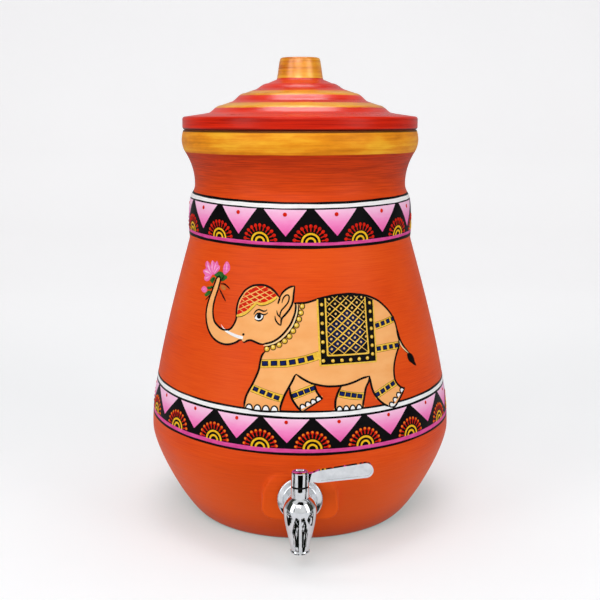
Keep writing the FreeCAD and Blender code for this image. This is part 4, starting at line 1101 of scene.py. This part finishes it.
latticeValues = {
    "slope": 38, "gap": 6.0, "rising": 1.1, "falling": 0.75, "rows": range(42, 55), "columns": range(4, 12),
    "left": 22.6, "right": 53, "rightFrom": 162, "rightLean": 0.06, "heights": (164.5, 205.8),
    "dot": 0.9, "dotRise": 0.4, "blueWidth": 0.7, "blueReach": 14.5, "blueTaper": 1.2,
    "blueMiddle": (37.5, 188)}
capValues = {"slopes": (25, -27), "gap": 3.7, "width": 0.95}
lineValues = {"outline": 1.6, "detail": 1.15, "ends": 0.45, "rise": 0.16, "detailRise": 0.112,
              "rim": 1.5, "rimDrop": 0.85, "tail": 2.7, "tailEnds": 0.6, "tailCore": 1.0}
tailLine = [(85.8, 177), (86.5, 170.3), (88.4, 165.1), (91.9, 159.7), (95.2, 156.3)]
tailCoreLine = [(86.2, 168), (88, 163.4), (91, 159.8), (94.6, 156.5)]
beadValues = {"necklace": 10, "side": 7, "foot": 5, "radius": 1.4, "rise": 0.6}
strapEdge, nailCount, nailRim = 0.6, 4, (1.0, 1.1)
# nails: lines they stand on, half width, height
nailValues = {
    "near": ([[(-36.4, 120.9), (-18, 120.7)]], 2.0, 3.2),
    "other": ([[(2.4, 123.2), (13.6, 128.9)], [(28, 120.5), (42.6, 120.5)], [(70.4, 118.8), (81.8, 128.2)]],
              1.55, 2.6),
}


def latticeCells(values):
    # middles of the lattice's cells, which lie between the two rows of lines
    half, slope = values["gap"] / 2, math.radians(values["slope"])
    wide, high = half / math.sin(slope), half / math.cos(slope)
    low, top = values["heights"]
    cells = []
    for row in values["rows"]:
        for column in values["columns"]:
            x, z = column * wide, row * high
            right = values["right"] + (z - values["rightFrom"]) * values["rightLean"]
            if (row + column) % 2 and values["left"] < x < right and low < z < top:
                cells.append((x, z))
    return cells, wide, high


def blueDiamonds(values):
    # the lattice's inner cells are blue, fewer towards the top
    cells, wide, high = latticeCells(values)
    middle, top = values["blueMiddle"]
    a, b = values["blueWidth"] * wide, values["blueWidth"] * high
    return [([(x - a, z), (x, z - b), (x + a, z), (x, z + b)],) for x, z in cells
            if abs(x - middle) + max(0, z - top) * values["blueTaper"] < values["blueReach"]]


skinOutline = (trunkInner[:-1] + crown[:-1] + earTop[:-1] + earEdge[:3] + back[:-1] + rump[:-1]
               + hindSole[:-1] + hindShin[:-1] + belly[:-1] + foreLeg[:-1] + foreSole[:-1] + foreShin + mouth
               + trunkOuter[:-1])
farHindSkin = farHindLeg + farHindBack + [(44, 146), (34, 144)]
farForeSkin = farForeLeg + farForeBack + [(8, 147), (1, 151), (-5, 148)]
capRims = (capRimFront, capRimBack)
capField = capTop + capRimBack[::-1] + capRimFront[::-1]
necklace = [[tuple(p) for p in smooth(beadLine)]]
contours = (trunkInner + crown[1:], earTop, earEdge, back, rump, hindShin, belly, foreLeg, foreShin, mouth,
            trunkOuter, farHindLeg, farHindBack, farForeLeg, farForeBack, cheek, foreSole, hindSole)


def capHatch(slope):
    return [(capField, slope, capValues["gap"], capValues["width"])]


def strapStrokes(extra):
    return [(line, width + extra, 1.0) for line, width in straps]


layer("elephantFarLegs", "skinPaint", "farSkin", patches=[(farHindSkin, True), (farForeSkin, True)])
layer("elephantSkin", "skinPaint", "skin", patches=[(skinOutline, True)])
layer("strapEdges", "strapEdgePaint", "strap", strokes=strapStrokes(strapEdge))
layer("strapGold", "gildPaint", "strapGold", strokes=strapStrokes(0))
for label, lines, count, black, blue in (
        ("strap", strapSquareLines, 4, (4.1, 3.5), (2.9, 2.5)),
        ("chest", [chestSquareLine[:-1]], 6, (5.0, 3.9), (3.6, 2.8))):
    strung(label + "Squares", "blackPaint", "strapSquare", lines, count, squares=[black])
    strung(label + "Blues", "bluePaint", "work", lines, count, squares=[blue])
layer("elephantCap", "redPaint", "cloth", patches=[(capTop + capRimBack[::-1][1:] + capRimFront[::-1][1:],)])
layer("capLattice", "sandPaint", "work", hatches=capHatch(capValues["slopes"][0]))
layer("capLatticeBack", "sandPaint", "cloth", hatches=capHatch(capValues["slopes"][1]))
layer("saddleCloth", "blackPaint", "cloth", patches=[(saddleOutline,)])
layer("saddleBlue", "navyPaint", "work", patches=blueDiamonds(latticeValues))
for label, paintName, coat, side in (
        ("Falling", "sandPaint", "inkLine", -1), ("Rising", "gildPaint", "top", 1)):
    layer("saddle" + label, paintName, coat, hatches=[
        (saddleField, side * latticeValues["slope"], latticeValues["gap"], latticeValues[label.lower()])])
layer("saddleDots", "sandPaint", "top", dots=[
    (place, latticeValues["dot"], latticeValues["dotRise"]) for place in latticeCells(latticeValues)[0]])
layer("goldEdges", "gildPaint", "top", strokes=[(rim, 2.1, 0.8, 0.35) for rim in capRims] + saddleEdges)
saddleBeads = (("saddle", saddleSides, beadValues["side"]), ("saddleFoot", saddleFoot, beadValues["foot"]))
for label, lines, count in saddleBeads:
    bead = ((0, 0), beadValues["radius"], beadValues["rise"])
    strung(label + "Beads", "gildPaint", "work", lines, count, dots=[bead])
layer("lotusFlowers", "lotusPaint", "strap", patches=[(shape, True) for shape in [lotusShape] + budShapes])
layer("lotusStreaks", "palePink", "strapGold", strokes=[(line, 1.3, 0.3, 0.2) for line in lotusVeins])
layer("lotusLeaves", "greenPaint", "strap", patches=[(shape, True) for shape in leafShapes])
layer("lotusBract", "bractPaint", "strap", patches=[(bractShape, True)])
layer("elephantEye", "whitePaint", "cloth", patches=[(eye, True)])
layer("elephantPupil", "blackPaint", "inkLine", dots=[((-33.6, 192.2), 1.95, 0.2)])
ends = lineValues["ends"]
layer("elephantLines", "blackPaint", "inkLine",
      strokes=[(line, lineValues["outline"], ends, lineValues["rise"]) for line in contours]
      + [(line, lineValues["detail"], ends, lineValues["detailRise"]) for line in [collarEdge] + creases]
      + [([(-16.9, 207.4), (-17.4, 205), (-18.3, 202.3)], 1.9, 0.6)]
      + [([(x, z - lineValues["rimDrop"]) for x, z in rim], lineValues["rim"]) for rim in capRims]
      + [(tailLine, lineValues["tail"], lineValues["tailEnds"])],
      dots=[((-45.6, 177.4), 1.0)], patches=[(tailTuft, True)])
layer("elephantTusk", "whitePaint", "top", patches=[(tusk, True)])
layer("collarCream", "creamPaint", "top", strokes=[(collar, 1.0, 0.45, 0.15)])
layer("tailCore", "creamPaint", "top", strokes=[(tailCoreLine, lineValues["tailCore"])])
# the last row is a pale dot on each necklace bead: a painted highlight
for name, paintName, coat, dot in (
        ("necklaceEdges", "blackPaint", "inkLine", ((0, 0), 2.45)),
        ("necklaceBeads", "gildPaint", "top", ((0, 0), 1.85, 0.8)),
        ("beadShine", "highlightPaint", "shine", ((0, 0.35), 0.85, 0.25))):
    strung(name, paintName, coat, necklace, beadValues["necklace"], dots=[dot])
# a pale dot on each saddle bead: a painted highlight
for label, lines, count in saddleBeads:
    strung(label + "Shine", "highlightPaint", "smallShine", lines, count, dots=[((0, 0.25), 0.6, 0.2)])
for label, (lines, half, high) in nailValues.items():
    edge = (half + nailRim[0], high + nailRim[1])
    strung(label + "NailEdges", "blackPaint", "inkLine", lines, nailCount, nails=[edge])
    strung(label + "Nails", "whitePaint", "top", lines, nailCount, nails=[(half, high)])
bpy.data.objects.remove(surfaceTable)
print("elephant painted")


# tap and inner pieces
chromeValues = {"dark": (214, 216, 220), "light": (232, 233, 236), "roughness": (0.03, 0.09), "haze": 220.0,
                "waves": 60.0, "relief": 0.00006}
cadLooks = {
    "tap_body": "chromePlate", "lever": "chromePlate", "lever_cap": "chromePlate",
    "front_gasket": "blackRubber", "rear_gasket": "blackRubber", "stem_washer": "blackRubber",
    "plug_o_rings": "blackRubber", "port_seal": "blackRubber", "backing_washer": "plainSteel",
    "lever_screw": "plainSteel", "back_nut": "whitePlastic", "valve_plug": "blackPlastic",
}


def buildChrome(values):
    material, tree, shader = newMaterial("chromePlate")
    haze = noise(tree, (1, 1, 1), values["haze"], 2.0)
    waves = noise(tree, (1, 1, 1), values["waves"], 2.0)
    wire(shader, {
        "Base Color": ramp(tree, haze, [(0.3, values["dark"]), (0.7, values["light"])]), "Metallic": 1.0,
        "Roughness": uneven(tree, haze, *values["roughness"]), "Normal": bump(tree, waves, values["relief"])})
    return material


paints["chromePlate"] = buildChrome(chromeValues)
for name, paintName in cadLooks.items():
    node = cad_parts[name]
    node.data.materials.clear()
    node.data.materials.append(paints[paintName])
print("tap materials set")


# floor, backdrop and light; a fade holds two places and the value at each
stageValues = {
    "floor": (200, 205, 207), "glowColor": (1.0, 0.955, 0.962, 1.0), "shade": (0.3, 0.57, 0.55, 1.0),
    "halfWidth": 7.0,
    "profile": ((-7.0, 0.0), (1.2, 0.0), (1.6, 0.06), (1.85, 0.25), (1.95, 0.6), (2.0, 2.6)),
    "glowFade": (0.1, 1.2, 0.425, 0.58), "mirroredFade": (-0.1, 0.3, 0.62, 0.1),
    "awayFade": (0.9, 1.9, 0.0, 0.2), "besidePot": 0.4, "shadeReach": 0.06, "diffuse": 0.42, "backdrop": 0.9,
    "frontFade": (0.62, 0.72, 1.0, 0.0), "frontDepth": 0.1, "ragged": 0.7,
    "mirrorLight": (0.78, 0.79, 0.78, 1.0), "mirrorDark": (0.05, 0.055, 0.045, 1.0),
}


def buildFloor(values):
    rows, side = values["profile"], values["halfWidth"]
    mesh = bpy.data.meshes.new("floor")
    mesh.from_pydata([(x, y, z) for y, z in rows for x in (-side, side)], [],
                     [(2 * i, 2 * i + 1, 2 * i + 3, 2 * i + 2) for i in range(len(rows) - 1)])
    floor = placed("floor", mesh)
    mesh.shade_smooth()
    darker = tuple(v - 3 for v in values["floor"])
    material = paint("floorPaper", values["floor"], darker, 0.6, (1, 1, 1), 3.0, 0.00012)
    tree = material.node_tree
    shader = tree.nodes["Principled BSDF"]
    m = partial(calc, tree)
    x, y, _ = ownPlace(tree)
    ray = add(tree, "ShaderNodeLightPath").outputs
    # the glow shows to the camera and through clear pieces, and in part in mirrors
    mirrored = m("MULTIPLY", ray["Is Glossy Ray"], spread(tree, y, *values["mirroredFade"]))
    seen = m("MAXIMUM", ray["Is Camera Ray"], m("MAXIMUM", mirrored, ray["Is Transmission Ray"]))
    # near the pot the glow turns to the shade tint by ambient occlusion: a painted contact shadow
    openness = add(tree, "ShaderNodeAmbientOcclusion", {"Distance": values["shadeReach"]}).outputs["AO"]
    # from the sides and the back the paper fades into the backdrop
    away = m("MAXIMUM", m("SUBTRACT", m("ABSOLUTE", x), values["besidePot"]), m("MULTIPLY", y, -1.0))
    fade = m("MULTIPLY", ray["Is Camera Ray"], spread(tree, away, *values["awayFade"]))
    glow = m("MULTIPLY", seen, spread(tree, y, *values["glowFade"]))
    wire(shader, {
        "Emission Color": blend(tree, spread(tree, openness, 0.0, 1.0), values["shade"], values["glowColor"]),
        "Emission Strength": m("ADD", fade, glow)})
    mesh.materials.append(material)


def buildStudio(values):
    # white to the camera and pale to matt surfaces; shiny ones see a bright front between dark sides
    world = bpy.data.worlds.new("studio")
    world.use_nodes = True
    tree = world.node_tree
    background = tree.nodes["Background"]
    m = partial(calc, tree)
    way = split(tree, add(tree, "ShaderNodeTexCoord").outputs["Generated"])
    ragged = m("MULTIPLY", m("SUBTRACT", noise(tree, (1, 1, 1), 5.0, 4.0), 0.5), values["ragged"])
    aside = spread(tree, m("ADD", m("ABSOLUTE", way[0]), ragged), *values["frontFade"])
    front = m("MULTIPLY", aside, m("LESS_THAN", way[1], values["frontDepth"]))
    ray = add(tree, "ShaderNodeLightPath").outputs
    mirrored = blend(tree, front, values["mirrorDark"], values["mirrorLight"])
    seen = m("ADD", m("MULTIPLY", ray["Is Glossy Ray"], 1.0 - values["diffuse"]),
             m("MULTIPLY", ray["Is Camera Ray"], values["backdrop"] - values["diffuse"]))
    wire(background, {"Color": blend(tree, ray["Is Glossy Ray"], (1, 1, 1, 1), mirrored),
                      "Strength": m("ADD", seen, values["diffuse"])})
    bpy.context.scene.world = world


# place, width, height and power of each soft light; all aim at the pot's middle
lampValues = {
    "leftBox": ((-1.0, -0.75, 0.6), 0.5, 1.2, 4.6), "rightBox": ((1.0, -0.75, 0.6), 0.5, 1.2, 4.6),
    "topBox": ((0, 0.2, 1.5), 0.9, 0.4, 5.0), "keyBox": ((-0.25, -1.3, 1.25), 0.8, 0.5, 7.2),
}
lampTarget = Vector((0, 0, 0.2))


def softbox(name, place, width, height, power):
    light = bpy.data.lights.new(name, "AREA")
    light.shape = "RECTANGLE"
    light.size, light.size_y, light.energy = width, height, power
    lamp = placed(name, light)
    lamp.location = place
    lamp.rotation_euler = (lampTarget - Vector(place)).to_track_quat("-Z", "Y").to_euler()


# black cards that give the chrome dark shapes to mirror; how open each is, and how fine its holes are
cardValues = {"raggedCard": (0.4, 90.0), "wholeCard": (0.28, 90.0), "farCard": (0.42, 28.0)}
cardBlack, cardEdge = (0.004, 0.005, 0.003, 1.0), 0.05
# paint and corners; the hub's card stands upright, the others lie low by the spout and at the sides
cardPlans = {
    "hubCard": ("wholeCard", [
        (-0.0055, -0.17, 0.0645), (0.006, -0.17, 0.0645), (0.012, -0.17, 0.087), (-0.0055, -0.17, 0.087)]),
    "leftSpoutCard": ("raggedCard", [
        (-0.006, -0.25, 0.003), (-0.05, -0.25, 0.003), (-0.04, -0.168, 0.003), (-0.0054, -0.168, 0.003)]),
    "leftSideCard": ("farCard", [
        (-0.06, -0.21, 0.002), (-1.6, -0.55, 0.002), (-1.6, 0.1, 0.002), (-0.06, -0.14, 0.002)]),
    "rightSpoutCard": ("raggedCard", [
        (0.011, -0.25, 0.003), (0.05, -0.25, 0.003), (0.04, -0.168, 0.003), (0.0099, -0.168, 0.003)]),
    "rightSideCard": ("farCard", [
        (0.06, -0.21, 0.002), (1.6, -0.55, 0.002), (1.6, 0.1, 0.002), (0.06, -0.14, 0.002)]),
}


def cardPaint(name, holes, scale):
    # black with ragged holes, so its reflection looks like part of a room
    material, tree, shader = newMaterial(name)
    alpha = spread(tree, noise(tree, (1, 1, 1), scale, 4.0), holes, holes + cardEdge)
    wire(shader, {"Base Color": cardBlack, "Specular IOR Level": 0.0, "Alpha": alpha})
    return material


def darkCard(name, corners, paintName):
    # a card that only shiny surfaces see
    mesh = bpy.data.meshes.new(name)
    mesh.from_pydata(corners, [], [(0, 1, 2, 3)])
    card = placed(name, mesh)
    card.visible_camera = card.visible_diffuse = card.visible_shadow = card.visible_transmission = False
    mesh.materials.append(paints[paintName])


for name, values in cardValues.items():
    paints[name] = cardPaint(name, *values)
buildFloor(stageValues)
buildStudio(stageValues)
for name, values in lampValues.items():
    softbox(name, *values)
for name, (paintName, corners) in cardPlans.items():
    darkCard(name, corners, paintName)
print("stage and light set")
